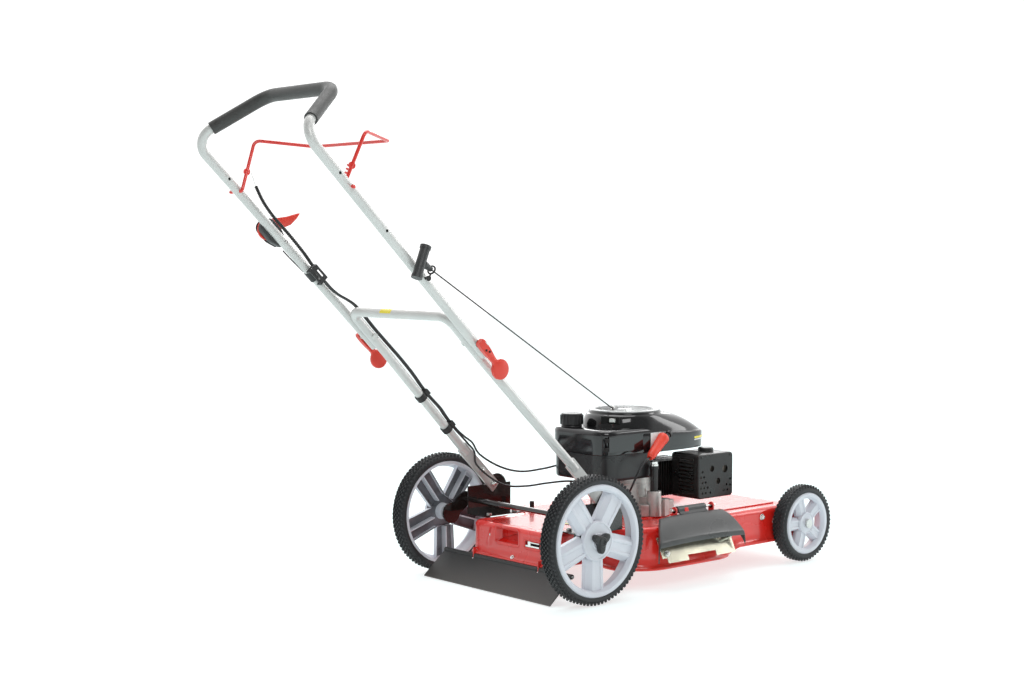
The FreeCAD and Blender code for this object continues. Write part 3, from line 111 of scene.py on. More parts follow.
def finish_of(name, base, rough=0.4, metal=0.0, coat=0.0, specular=0.5, sheen=0.0,
              mottle=(18, 0.12), rough_spread=0.08, grain=(900, 0.1, 0.0003), stretch=None, dust=None,
              second=None):
    """A surface with uneven colour and roughness and a fine grain."""
    material = bpy.data.materials.new(name)
    material.use_nodes = True
    nodes, links = material.node_tree.nodes, material.node_tree.links
    shader = nodes["Principled BSDF"]
    shader.inputs["Metallic"].default_value = metal
    shader.inputs["Coat Weight"].default_value = coat
    shader.inputs["Coat Roughness"].default_value = COAT_ROUGH
    shader.inputs["Specular IOR Level"].default_value = specular
    shader.inputs["Sheen Weight"].default_value = sheen
    coordinates = nodes.new("ShaderNodeTexCoord").outputs["Object"]
    scale, amount = mottle
    patches = noise(nodes, links, coordinates, scale, 4.0, stretch)
    dark = tuple(max(0.0, channel * (1 - amount)) for channel in base)
    light = second or tuple(min(1.0, channel * (1 + amount)) for channel in base)
    colour = mixed(nodes, links, ranged(nodes, links, patches, 0, 1), dark, light)
    if dust is not None:
        height, dust_colour, strength = dust
        split = nodes.new("ShaderNodeSeparateXYZ")
        links.new(coordinates, split.inputs["Vector"])
        low = ranged(nodes, links, split.outputs["Z"], strength, 0, 0.0, height)
        colour = mixed(nodes, links, low, colour, dust_colour)
    links.new(colour, shader.inputs["Base Color"])
    links.new(ranged(nodes, links, patches, max(0.02, rough - rough_spread), rough + rough_spread),
              shader.inputs["Roughness"])
    grain_scale, strength, distance = grain
    height = noise(nodes, links, coordinates, grain_scale, 2.0, stretch)
    bump = nodes.new("ShaderNodeBump")
    bump.inputs["Strength"].default_value = strength
    bump.inputs["Distance"].default_value = distance
    links.new(height, bump.inputs["Height"])
    links.new(bump.outputs["Normal"], shader.inputs["Normal"])
    return material


GROUND_DUST = (0.10, (0.40, 0.36, 0.30), 0.12)
FINISHES = {
    "red_enamel": dict(base=(0.74, 0.016, 0.010), rough=0.28, coat=0.6, mottle=(9, 0.06),
        grain=(160, 0.05, 0.0005), dust=GROUND_DUST),
    "red_paint": dict(base=(0.70, 0.030, 0.020), rough=0.28, coat=0.4, mottle=(30, 0.08),
        grain=(500, 0.03, 0.0001)),
    "red_plastic": dict(base=(0.70, 0.045, 0.026), rough=0.36, mottle=(25, 0.06),
        grain=(1800, 0.12, 0.0002)),
    "red_rubber": dict(base=(0.80, 0.060, 0.030), rough=0.42, mottle=(40, 0.08),
        grain=(1500, 0.15, 0.0002)),
    "silver_paint": dict(base=(0.60, 0.60, 0.585), rough=0.36, metal=0.2, coat=0.15, mottle=(14, 0.05),
        grain=(2200, 0.04, 0.0001)),
    "zinc_steel": dict(base=(0.62, 0.62, 0.60), rough=0.28, metal=0.9, mottle=(60, 0.18),
        rough_spread=0.12, grain=(1400, 0.12, 0.0002)),
    "cream_zinc": dict(base=(0.60, 0.58, 0.47), rough=0.24, metal=0.8, mottle=(9, 0.3),
        second=(0.74, 0.71, 0.56), grain=(700, 0.08, 0.0003)),
    "black_plastic": dict(base=(0.018, 0.018, 0.019), rough=0.42, mottle=(30, 0.25),
        grain=(2400, 0.3, 0.0002)),
    "dark_plastic": dict(base=(0.036, 0.037, 0.038), rough=0.44, mottle=(22, 0.2),
        grain=(1900, 0.35, 0.0002)),
    "black_enamel": dict(base=(0.014, 0.009, 0.008), rough=0.16, coat=0.6, mottle=(12, 0.3),
        grain=(240, 0.06, 0.0004)),
    "black_gloss": dict(base=(0.010, 0.010, 0.011), rough=0.13, coat=0.4, mottle=(8, 0.3),
        rough_spread=0.04, grain=(90, 0.03, 0.0005)),
    "black_engine_paint": dict(base=(0.016, 0.016, 0.016), rough=0.34, mottle=(30, 0.35), rough_spread=0.1,
        grain=(700, 0.18, 0.0004)),
    "black_wire": dict(base=(0.012, 0.012, 0.012), rough=0.3, mottle=(60, 0.2), grain=(1200, 0.1, 0.0002)),
    "rubber": dict(base=(0.020, 0.020, 0.020), rough=0.62, mottle=(50, 0.2), grain=(1600, 0.3, 0.0003)),
    "cable_jacket": dict(base=(0.016, 0.016, 0.017), rough=0.36, mottle=(60, 0.2),
        grain=(1200, 0.12, 0.0002)),
    "cast_aluminium": dict(base=(0.62, 0.61, 0.59), rough=0.42, metal=0.75, mottle=(70, 0.14),
        rough_spread=0.14, grain=(420, 0.5, 0.0006)),
    "grille_silver": dict(base=(0.34, 0.35, 0.35), rough=0.30, metal=0.3, mottle=(30, 0.08),
        grain=(1500, 0.1, 0.0002)),
    "muffler_steel": dict(base=(0.24, 0.21, 0.18), rough=0.40, metal=0.8, mottle=(24, 0.3),
        grain=(600, 0.2, 0.0003)),
    "blade_steel": dict(base=(0.20, 0.20, 0.21), rough=0.36, metal=0.8, mottle=(18, 0.3),
        stretch=(1, 6, 1), grain=(500, 0.2, 0.0003), dust=(0.08, (0.16, 0.12, 0.06), 0.3)),
    "rope": dict(base=(0.014, 0.014, 0.015), rough=0.7, sheen=0.3, mottle=(200, 0.4),
        grain=(2500, 0.6, 0.0004)),
    "foam": dict(base=(0.040, 0.040, 0.038), rough=0.50, sheen=0.15, mottle=(30, 0.16),
        grain=(1500, 0.35, 0.0004)),
    "flap_rubber": dict(base=(0.034, 0.034, 0.034), rough=0.50, mottle=(7, 0.22),
        grain=(420, 0.10, 0.0004), dust=(0.05, (0.20, 0.18, 0.16), 0.25)),
    # Painted shade: the rim's own plastic made darker for the faces deep inside the spoke channels.
    "rim_inside": dict(base=(0.13, 0.135, 0.15), rough=0.34, mottle=(24, 0.35), rough_spread=0.1,
        grain=(900, 0.3, 0.0003)),
    "wheel_plastic": dict(base=(0.66, 0.675, 0.73), rough=0.40, mottle=(20, 0.05),
        grain=(1700, 0.18, 0.0002), specular=0.45),
    "tyre": dict(base=(0.022, 0.023, 0.025), rough=0.55, mottle=(40, 0.2), grain=(900, 0.35, 0.0004)),
    "deflector_plastic": dict(base=(0.060, 0.062, 0.062), rough=0.33, mottle=(9, 0.16),
        grain=(1700, 0.22, 0.0003)),
    "yellow_label": dict(base=(0.85, 0.70, 0.03), rough=0.25, coat=0.3, mottle=(60, 0.05),
        grain=(500, 0.05, 0.0002)),
    "silver_label": dict(base=(0.80, 0.80, 0.79), rough=0.35, mottle=(40, 0.06), grain=(400, 0.05, 0.0002)),
    "black_label": dict(base=(0.012, 0.012, 0.012), rough=0.28, coat=0.3, mottle=(50, 0.2),
        grain=(500, 0.05, 0.0002)),
    "tank_satin": dict(base=(0.017, 0.017, 0.018), rough=0.30, mottle=(12, 0.25),
        grain=(1500, 0.14, 0.0002)),
    "tank_panel_gloss": dict(base=(0.006, 0.006, 0.007), rough=0.06, coat=0.5, mottle=(10, 0.3),
        rough_spread=0.02, grain=(90, 0.02, 0.0003)),
    # Painted shade: a near-black rough finish that stands in for the shade inside holes and openings.
    "painted_hole_shade": dict(base=(0.006, 0.006, 0.006), rough=0.8, mottle=(60, 0.3), grain=(500, 0.1, 0.0002)),
    "bright_zinc": dict(base=(0.78, 0.78, 0.76), rough=0.2, metal=0.9, mottle=(80, 0.1),
        grain=(900, 0.08, 0.0002)),
}
MATERIALS = {name: finish_of(name, **look) for name, look in FINISHES.items()}
CAD_FINISH = {"deflector": "deflector_plastic", "engine_cylinder": "black_engine_paint",
              "spark_plug": "black_engine_paint", "oil_cap": "bright_zinc",
              "oil_tube": "black_engine_paint", "carburettor": "dark_plastic"}


def paint_cad_nodes():
    """Gives every CAD node its finish, and smooths its round faces."""
    for name, item in NODES.items():
        material = MATERIALS[CAD_FINISH.get(name, SLOT_OF[name])]
        for slot in item.material_slots:
            slot.material = material
        weld = item.modifiers.new("weld", "WELD")
        weld.merge_threshold = 0.00002
        split = item.modifiers.new("edges", "EDGE_SPLIT")
        split.split_angle = math.radians(32)
        split.use_edge_sharp = False
        even = item.modifiers.new("normals", "WEIGHTED_NORMAL")
        even.keep_sharp = False
        item.data.polygons.foreach_set("use_smooth", [True] * len(item.data.polygons))


# ---------------------------------------------------------------- mesh helpers

def linked(name, data):
    """An object with its data, in the scene."""
    item = bpy.data.objects.new(name, data)
    bpy.context.scene.collection.objects.link(item)
    return item


def linked_mesh(name, mesh):
    """An object made of a bmesh, which is used up."""
    data = bpy.data.meshes.new(name)
    mesh.to_mesh(data)
    mesh.free()
    return linked(name, data)


def thicken(item, thickness, offset=-1):
    """Gives a sheet its thickness: inwards, or about its middle at offset 0."""
    wall = item.modifiers.new("wall", "SOLIDIFY")
    wall.thickness = thickness
    wall.offset = offset


def piece(name, mesh, finish, body=None, bevel=0.0, smooth=35):
    """A finished piece made of a bmesh, riding on a body."""
    item = linked_mesh(name, mesh)
    data = item.data
    data.materials.append(MATERIALS[finish])
    data.polygons.foreach_set("use_smooth", [True] * len(data.polygons))
    data.set_sharp_from_angle(angle=math.radians(smooth))
    if bevel:
        edge = item.modifiers.new("bevel", "BEVEL")
        edge.width = bevel
        edge.segments = 2
        edge.limit_method = "ANGLE"
        edge.angle_limit = math.radians(35)
        edge.harden_normals = True
    if body is not None:
        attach(item, body)
    return item


def revolve(mesh, profile, steps=96, at=(0, 0, 0), axis=Y):
    """Turns a closed line of (radius, height) points about an axis, into the bmesh."""
    turn = Z.rotation_difference(Vector(axis)).to_matrix().to_4x4()
    place = Matrix.Translation(at) @ turn
    rings = []
    for step in range(steps):
        angle = 2 * math.pi * step / steps
        rings.append([mesh.verts.new(place @ Vector((radius * math.cos(angle), radius * math.sin(angle),
                                                     height))) for radius, height in profile])
    count = len(profile)
    for step in range(steps):
        this, following = rings[step], rings[(step + 1) % steps]
        for index in range(count):
            after = (index + 1) % count
            mesh.faces.new((this[index], following[index], following[after], this[after]))


def loft(mesh, sections, caps=True):
    """Skins a row of closed loops that all have the same number of points."""
    loops = [[mesh.verts.new(point) for point in section] for section in sections]
    count = len(loops[0])
    for this, following in zip(loops, loops[1:]):
        for index in range(count):
            after = (index + 1) % count
            mesh.faces.new((this[index], this[after], following[after], following[index]))
    if caps:
        mesh.faces.new(list(reversed(loops[0])))
        mesh.faces.new(loops[-1])


def slab(mesh, size, place):
    """A box of a size, centred, under a matrix."""
    bmesh.ops.create_cube(mesh, size=1.0, matrix=place @ Matrix.Diagonal((*size, 1)))


def cone(mesh, place, segments, radius, depth, top=None):
    """A rod, or a cone with another radius at its top, centred under a matrix."""
    bmesh.ops.create_cone(mesh, cap_ends=True, segments=segments, radius1=radius,
                          radius2=radius if top is None else top, depth=depth, matrix=place)


def placed(at, turn, axis):
    """A matrix that turns about an axis and moves to a point."""
    return Matrix.Translation(at) @ Matrix.Rotation(turn, 4, axis)


def facing(direction, at):
    """A matrix whose Z looks along a direction, from a point."""
    return Matrix.Translation(at) @ Vector(direction).to_track_quat("Z", "Y").to_matrix().to_4x4()


def hexagon_bolt(mesh, at, direction, width, height, washer=0.0):
    """A bolt head with a domed top on a round washer."""
    place = facing(direction, at)
    start = 0.0
    if washer:
        cone(mesh, place @ Matrix.Translation((0, 0, height * 0.17)), 28, washer, height * 0.35,
             washer * 0.96)
        start = height * 0.3
    cone(mesh, place @ Matrix.Translation((0, 0, start + height / 2)), 6, width / 2, height,
         width / 2 * 0.97)
    dome = place @ Matrix.Translation((0, 0, start + height * 1.12))
    cone(mesh, dome, 20, width * 0.36, height * 0.3, width * 0.2)


def recalculated(mesh):
    """The bmesh with all its faces turned outwards."""
    bmesh.ops.recalc_face_normals(mesh, faces=mesh.faces)
    return mesh


# ---------------------------------------------------------------- wheels

def tyre(name, body, centre, radius, rim_radius, half_width):
    """A moulded carcass with staggered diamond knobs over its tread and shoulders."""
    mesh = bmesh.new()
    knob = radius * 0.024 + 0.0002
    base = radius - knob
    bead = rim_radius
    profile = [(bead, -half_width + 0.004), (bead + 0.003, -half_width + 0.0012),
               (bead + 0.008, -half_width + 0.0005), (base - 0.012, -half_width + 0.0008),
               (base - 0.006, -half_width + 0.003), (base - 0.0012, -half_width + 0.009),
               (base, -half_width * 0.3)]
    profile += [(r, -height) for r, height in reversed(profile)]
    revolve(mesh, profile, 120)
    pitch = 0.0118
    count = round(2 * math.pi * radius / pitch)
    step = 2 * math.pi / count
    rows = 7
    across = 2 * half_width / (rows + 0.6)
    for row in range(rows):
        height = (row - (rows - 1) / 2) * across
        edge = abs(row - (rows - 1) / 2) / ((rows - 1) / 2)
        lean = 0.9 if edge > 0.95 else 0.0
        ring = base - (0.0042 if edge > 0.95 else 0.0)
        for number in range(count):
            angle = step * (number + 0.5 * (row % 2))
            add_knob(mesh, angle, ring, height, step * ring * 0.47, across * 0.62, knob * 0.97, lean,
                     half_width)
    item = piece(name, recalculated(mesh), "tyre", smooth=30)
    item.location = centre
    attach(item, body)
    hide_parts(name.replace("_piece", ""))
    return item


def add_knob(mesh, angle, ring, height, half_length, half_across, rise, lean, half_width):
    """One tread knob: a diamond whose top is smaller than its foot."""
    out = Vector((math.cos(angle), 0, math.sin(angle)))
    along = Vector((-math.sin(angle), 0, math.cos(angle)))
    side = math.copysign(1, height) if lean else 0
    up = (out + Y * side * lean * 0.25).normalized()
    centre = out * ring + Y * height
    foot, top = [], []
    for length, width in ((1, 0), (0, 1), (-1, 0), (0, -1)):
        offset = along * length * half_length + Y * width * half_across
        low = centre + offset - out * 0.001
        high = centre + offset * 0.66 + up * rise
        for point in (low, high):
            point.y = max(-half_width, min(half_width, point.y))
        foot.append(mesh.verts.new(low))
        top.append(mesh.verts.new(high))
    mesh.faces.new(top)
    for index in range(4):
        after = (index + 1) % 4
        mesh.faces.new((foot[index], foot[after], top[after], top[index]))


def spoke_section(distance, angle, width, outer, inner, side):
    """The cross-section of a spoke: a raised panel outside, a channel with a centre rib inside."""
    half = width / 2
    wall, rib = 0.0032, 0.0016
    depth = outer - inner
    shape = [(-half, inner + depth * 0.15), (-half, outer - depth * 0.42),
             (-half * 0.72, outer - depth * 0.16), (-half * 0.60, outer), (-half * 0.36, outer),
             (-half * 0.30, outer - 0.0022), (half * 0.30, outer - 0.0022), (half * 0.36, outer),
             (half * 0.60, outer), (half * 0.72, outer - depth * 0.16), (half, outer - depth * 0.42),
             (half, inner + depth * 0.15), (half - wall, inner + depth * 0.15),
             (half - wall, outer - depth * 0.55), (rib, outer - depth * 0.40), (rib, inner), (-rib, inner),
             (-rib, outer - depth * 0.40), (-half + wall, outer - depth * 0.55),
             (-half + wall, inner + depth * 0.15)]
    turn = Matrix.Rotation(angle, 3, "Y")
    return [turn @ Vector((distance, height * side, across)) for across, height in shape]


def rim(name, body, centre, rim_radius, half_width, hub_radius, side, spin):
    """A moulded five-spoke rim: deep barrel, ribbed spokes and a stepped hub, with painted shade on the
    inward faces deep in the spoke channels.
    """
    mesh = bmesh.new()
    outer, inner = half_width - 0.006, -half_width + 0.009
    lip = rim_radius
    barrel = [(lip, -half_width + 0.003), (lip + 0.001, half_width - 0.003),
              (lip - 0.002, half_width + 0.0002), (lip - 0.0105, half_width + 0.0002),
              (lip - 0.013, half_width - 0.003), (lip - 0.016, half_width - 0.012),
              (lip - 0.010, half_width - 0.020), (lip - 0.009, 0), (lip - 0.009, -half_width + 0.008),
              (lip - 0.007, -half_width + 0.003)]
    revolve(mesh, [(radius, height * side) for radius, height in barrel], 120)
    hub_out, hub_in = half_width - 0.001, -half_width + 0.006
    hub_wide = rim_radius * 0.36
    hub = [(0.0085, hub_in), (0.0085, hub_out), (hub_radius * 0.66, hub_out),
           (hub_radius * 0.7, hub_out - 0.002), (hub_wide * 0.86, hub_out - 0.003),
           (hub_wide * 0.90, hub_out - 0.0012), (hub_wide * 0.97, hub_out - 0.0016),
           (hub_wide, hub_out - 0.007), (hub_wide, hub_out - 0.013), (hub_wide * 0.8, hub_out - 0.015),
           (hub_radius * 0.8, hub_out - 0.017), (hub_radius * 0.72, hub_in)]
    revolve(mesh, [(radius, height * side) for radius, height in hub], 72)
    start, end = hub_wide * 0.80, rim_radius - 0.010
    for number in range(5):
        angle = spin + math.radians(72 * number)
        sections = []
        for share in (0.0, 0.06, 0.5, 0.92, 1.0):
            distance = start + (end - start) * share
            width = rim_radius * (0.41 + 0.05 * share)
            lift = -0.004 if share in (0.0, 1.0) else 0.0
            sections.append(spoke_section(distance, angle, width, outer + lift, inner, side))
        loft(mesh, sections)
    item = piece(name, recalculated(mesh), "wheel_plastic", bevel=0.0007, smooth=32)
    # Inward faces deep inside the spoke channels get the darker finish: painted shade.
    item.data.materials.append(MATERIALS["rim_inside"])
    for face in item.data.polygons:
        reach = math.hypot(face.center.x, face.center.z)
        in_painted_shade = inner + 0.002 < face.center.y * side < outer - 0.004 and reach < lip - 0.014
        if in_painted_shade and face.normal.y * side < -0.35:
            face.material_index = 1
    item.location = centre
    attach(item, body)
    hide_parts(name.replace("_piece", ""))
    return item


def wheels():
    """All four wheels: a tyre and a rim each."""
    for side_name, side in (("left", 1), ("right", -1)):
        for end, radius, rim_radius, half, hub, spin in (("rear", REAR_R, 0.1315, 0.022, 0.027, 0.30),
                                                         ("front", FRONT_R, 0.0805, 0.0205, 0.020, 0.62)):
            body = f"{end}_wheel_{side_name}"
            low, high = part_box(f"{end}_tyre_{side_name}")
            centre = (low + high) / 2
            tyre(f"{end}_tyre_{side_name}_piece", body, centre, radius, rim_radius, half)
            rim(f"{end}_rim_{side_name}_piece", body, centre, rim_radius, half, hub, side, spin)


# ---------------------------------------------------------------- outlines

def rounded_outline(corners, spacing=0.006):
    """Evenly spaced points round a closed outline of (x, y, radius) corners."""
    bends = []
    count = len(corners)
    for index, (x, y, radius) in enumerate(corners):
        here = Vector((x, y))
        back = (Vector(corners[index - 1][:2]) - here).normalized()
        on = (Vector(corners[(index + 1) % count][:2]) - here).normalized()
        half = back.angle(on) / 2
        middle = here + (back + on).normalized() * radius / math.sin(half)
        start = here + back * radius / math.tan(half) - middle
        end = here + on * radius / math.tan(half) - middle
        turn = start.angle_signed(end)
        steps = max(2, round(abs(turn) * radius / spacing))
        arc = []
        for step in range(steps + 1):
            angle = -turn * step / steps
            arc.append(middle + Vector((start.x * math.cos(angle) - start.y * math.sin(angle),
                                        start.x * math.sin(angle) + start.y * math.cos(angle))))
        bends.append(arc)
    points = []
    for index, arc in enumerate(bends):
        points += arc
        following = bends[(index + 1) % count][0]
        gap = (following - arc[-1]).length
        steps = max(1, round(gap / spacing))
        points += [arc[-1].lerp(following, step / steps) for step in range(1, steps)]
    return points


def outward(points, distance):
    """An outline moved outwards by a distance."""
    moved = []
    count = len(points)
    for index, point in enumerate(points):
        along = (points[(index + 1) % count] - points[index - 1]).normalized()
        moved.append(point + Vector((along.y, -along.x)) * distance)
    return moved


def step_between(value, low, high):
    """0 below low, 1 above high, and smooth between them."""
    share = max(0.0, min(1.0, (value - low) / (high - low)))
    return share * share * (3 - 2 * share)


def fillet_levels(top, outset, radius, steps=5):
    """(height, outset) pairs of a rounded top edge."""
    pairs = []
    for step in range(steps + 1):
        angle = math.pi / 2 * step / steps
        pairs.append((top - radius * (1 - math.sin(angle)), outset - radius * (1 - math.cos(angle))))
    return pairs


def stacked(outline, levels, warp=None, caps=True):
    """A shell through copies of an outline, at (height, outset) levels."""
    mesh = bmesh.new()
    sections = []
    for height, outset in levels:
        section = []
        for point in outward(outline, outset):
            spot = Vector((point.x, point.y, height))
            section.append(warp(spot) if warp else spot)
        sections.append(section)
    loft(mesh, sections, caps)
    return mesh


# ---------------------------------------------------------------- deck

DECK_TOP = 0.150
DECK_CORNERS = [(-0.092, -0.148, 0.030), (0.060, -0.150, 0.048), (0.150, -0.250, 0.100),
                (0.410, -0.250, 0.100), (0.455, -0.222, 0.040), (0.764, -0.222, 0.030),
                (0.764, 0.222, 0.030), (0.455, 0.222, 0.040), (0.410, 0.250, 0.100), (0.150, 0.250, 0.100),
                (0.060, 0.150, 0.048), (-0.092, 0.148, 0.030)]


def deck_base(x):
    """How high the deck's lower edge is: lowest along the drum."""
    rear = 0.067 + (0.045 - 0.067) * step_between(x, 0.03, 0.09)
    return rear + 0.015 * step_between(x, 0.44, 0.50)


def deck_warp(spot):
    """The lower edge's height, and a slight bead beside the rear window."""
    x, y, z = spot
    share = (z - 0.045) / (DECK_TOP - 0.045)
    base = deck_base(x)
    z = base + (DECK_TOP - base) * share
    if x < -0.080:
        bead = math.exp(-((y - 0.066 - (0.125 - z) * 0.35) / 0.006) ** 2) * step_between(z, 0.085, 0.105)
        x -= 0.0030 * bead
    return Vector((x, y, z))


def pocket(name, finish, across, heights, depth, corner, slant, floor_finish=None):
    """A pressed pocket in the deck's rear wall: a rolled frame, slanted walls and a floor."""
    outline = rounded_outline([(across[0], heights[0], corner), (across[1], heights[0], corner),
                               (across[1], heights[1], corner), (across[0], heights[1], corner)], 0.003)
    levels = ((0.006, -0.0916), (0.0045, -0.0930), (0.0015, -0.0932), (-0.0005, -0.0915),
              (-slant * 0.5, -0.0920 + depth * 0.5), (-slant, -0.0920 + depth * 0.94),
              (-slant - 0.0015, -0.0920 + depth))
    mesh = bmesh.new()
    sections = [[Vector((x, point.x, point.y)) for point in outward(outline, distance)] for distance,
                x in levels]
    loft(mesh, sections, caps=False)
    piece(name, recalculated(mesh), finish, "chassis", smooth=45)
    mesh = bmesh.new()
    mesh.faces.new([mesh.verts.new((-0.0920 + depth - 0.0002, point.x, point.y))
                    for point in outward(outline, -slant)])
    floor = piece(f"{name}_floor", recalculated(mesh), floor_finish or finish, "chassis")
    thicken(floor, 0.001)


def deck():
    """The pressed steel shell, its lugs, bolts and labels."""
    outline = rounded_outline(DECK_CORNERS, 0.0045)
    levels = [(0.045, 0.000), (0.0452, 0.008), (0.0475, 0.010), (0.051, 0.0092), (0.054, 0.004),
              (0.060, 0.0012), (0.075, 0.0003)]
    levels += [(0.075 + 0.0045 * number, 0.0) for number in range(1, 14)]
    levels += fillet_levels(DECK_TOP, 0.0, 0.014)
    levels += [(DECK_TOP, -0.022), (DECK_TOP - 0.003, -0.027), (DECK_TOP - 0.003, -0.029)]
    mesh = stacked(outline, levels, deck_warp)
    mesh.faces.ensure_lookup_table()
    bottom = [face for face in mesh.faces if len(face.verts) > 8 and face.calc_center_median().z < 0.1]
    openings = []
    for face in mesh.faces:
        x, y, z = face.calc_center_median()
        chute = 0.216 < x < 0.408 and y < -0.235 and 0.072 < z < 0.130
        rear = x < -0.088 and 0.108 < z < 0.142 and -0.035 < y < 0.050
        slot = x < -0.088 and 0.108 < z < 0.124 and -0.112 < y < -0.060
        if chute or rear or slot:
            openings.append(face)
    bmesh.ops.delete(mesh, geom=bottom + openings, context="FACES_ONLY")
    shell = piece("deck_shell_piece", recalculated(mesh), "red_enamel", "chassis", smooth=40)
    thicken(shell, 0.0022)
    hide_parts("deck_shell")
    pocket("rear_window", "red_enamel", (-0.036, 0.051), (0.106, 0.144), 0.016, 0.007, 0.009)
    # The rear slot's floor is a near-black sheet: painted shade of the opening.
    pocket("rear_slot", "red_enamel", (-0.114, -0.058), (0.107, 0.127), 0.008, 0.004, 0.002, "painted_hole_shade")
    deck_lugs()
    deck_fittings()


def deck_lugs():
    """The raised engine seat, hinge tabs and flap ears of the deck."""
    mesh = bmesh.new()
    revolve(mesh, [(0.012, 0.1465), (0.012, 0.1512), (0.122, 0.1512), (0.130, 0.1495), (0.134, 0.1465)], 72,
            (0.304, 0, 0), Z)
    thickness = 0.004
    for x in (0.256, 0.390):
        cone(mesh, facing(X, (x, HINGE_Y, HINGE_Z)), 28, 0.0085, thickness)
        slab(mesh, (thickness, 0.017, 0.034), Matrix.Translation((x, HINGE_Y, 0.164)))
    slab(mesh, (0.014, 0.003, 0.020), placed((0.291, -0.2345, 0.176), -0.25, "X"))
    for y in (0.122, -0.122):
        slab(mesh, (0.014, 0.003, 0.026), Matrix.Translation((-0.099, y, 0.070)))
    for y in (-0.16, 0.16):
        slab(mesh, (0.20, 0.016, 0.0035), Matrix.Translation((0.60, y, 0.1488)))
    piece("deck_lugs", recalculated(mesh), "red_enamel", "chassis", bevel=0.0008)


def deck_fittings():
    """Bolts, the rear slot's plates and the plain labels on the deck."""
    mesh = bmesh.new()
    for y in (0.126, -0.016):
        hexagon_bolt(mesh, (-0.0935, y, 0.0755), -X, 0.010, 0.004, 0.0065)
    hexagon_bolt(mesh, (-0.0925, 0.0704, 0.121), -X, 0.005, 0.002, 0.004)
    for x, z in ((0.590, 0.128), (0.640, 0.112)):
        hexagon_bolt(mesh, (x, -0.2222, z), -Y, 0.012, 0.005, 0.0085)
        hexagon_bolt(mesh, (x, 0.2222, z), Y, 0.012, 0.005, 0.0085)
    piece("deck_bolts", recalculated(mesh), "bright_zinc", "chassis", bevel=0.0004)
    mesh = bmesh.new()
    slab(mesh, (0.004, 0.050, 0.004), Matrix.Translation((-0.0895, -0.085, 0.111)))
    slab(mesh, (0.004, 0.036, 0.003), Matrix.Translation((-0.0895, -0.092, 0.1205)))
    slab(mesh, (0.005, 0.010, 0.014), Matrix.Translation((-0.0900, -0.075, 0.116)))
    piece("slot_plates", mesh, "bright_zinc", "chassis", bevel=0.0005)
    for name, finish, at, size, spin in (
            ("deck_label_yellow", "yellow_label", (0.073, 0.166, 0.1478), (0.045, 0.020, 0.0008), 0.0),
            ("deck_label_black", "black_label", (0.058, -0.052, 0.1478), (0.030, 0.070, 0.0007), 0.1),
            ("deck_label_stripe", "yellow_label", (0.051, -0.052, 0.1484), (0.007, 0.068, 0.0006), 0.1),
            ("deck_label_edge", "silver_label", (0.066, -0.052, 0.1484), (0.006, 0.066, 0.0006), 0.1)):
        mesh = bmesh.new()
        slab(mesh, size, placed(at, spin, "Z"))
        piece(name, mesh, finish, "chassis")


# ---------------------------------------------------------------- hood and plate

def sheet_surface(name, point, columns, rows, thickness, finish, body, bevel=0.0):
    """A sheet over a grid of points, given thickness."""
    mesh = bmesh.new()
    grid = [[mesh.verts.new(point(column / columns, row / rows)) for column in range(columns + 1)]
            for row in range(rows + 1)]
    for row in range(rows):
        for column in range(columns):
            mesh.faces.new((grid[row][column], grid[row][column + 1], grid[row + 1][column + 1],
                            grid[row + 1][column]))
    item = piece(name, recalculated(mesh), finish, body, smooth=50)
    thicken(item, thickness, 0)
    if bevel:
        edge = item.modifiers.new("bevel", "BEVEL")
        edge.width = bevel
        edge.segments = 2
        edge.limit_method = "ANGLE"
    return item


def hood_point(across, down):
    """A point of the hood: a crowned sheet that rolls down into a lip and two cheeks."""
    edge = abs(2 * across - 1)
    side = 1 if across > 0.5 else -1
    roll = max(0.0, edge - 0.80) / 0.20 * math.pi / 2
    reach = edge * 1.2 if edge < 0.80 else 0.96 + 0.04 * math.sin(roll)
    fall = max(0.0, down - 0.84) / 0.16 * math.pi / 2
    slope = down * 1.155 if down < 0.84 else 0.97 + 0.03 * math.sin(fall)
    share = 0.5 + 0.5 * side * reach
    high = Vector((0.192 + 0.232 * share, -0.236, 0.171))
    low = Vector((0.128 + 0.310 * share, -0.2985, 0.124))
    spot = high.lerp(low, slope)
    spot.z += 0.007 * math.sin(math.pi * min(1.0, slope)) ** 0.8 - 0.005 * reach ** 2
    cheek = (0.004 + 0.038 * slope) if side < 0 else (0.004 + 0.027 * slope)
    spot.z -= cheek * (1 - math.cos(roll)) + 0.010 * (1 - math.cos(fall)) * (1 - 0.6 * math.sin(roll))
    return spot


def hood():
    """The plastic deflector hood with its hinge barrel and pin."""
    item = sheet_surface("deflector_piece", hood_point, 96, 44, 0.003, "deflector_plastic", "deflector",
                         0.0006)
    mesh = bmesh.new()
    cone(mesh, facing(X, (0.313, HINGE_Y, HINGE_Z)), 40, 0.0085, 0.100)
    slab(mesh, (0.098, 0.012, 0.004), placed((0.313, -0.2350, 0.1745), 0.75, "X"))
    barrel = piece("deflector_barrel", recalculated(mesh), "deflector_plastic", "deflector", bevel=0.0008)
    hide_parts("deflector")
    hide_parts("deflector")
    mesh = bmesh.new()
    cone(mesh, facing(X, (0.322, HINGE_Y, HINGE_Z)), 18, 0.003, 0.165)
    for x in (0.2445, 0.3965):
        cone(mesh, facing(X, (x, HINGE_Y, HINGE_Z)), 24, 0.006, 0.004, 0.005)
    piece("deflector_pin", recalculated(mesh), "bright_zinc", "chassis", bevel=0.0003)


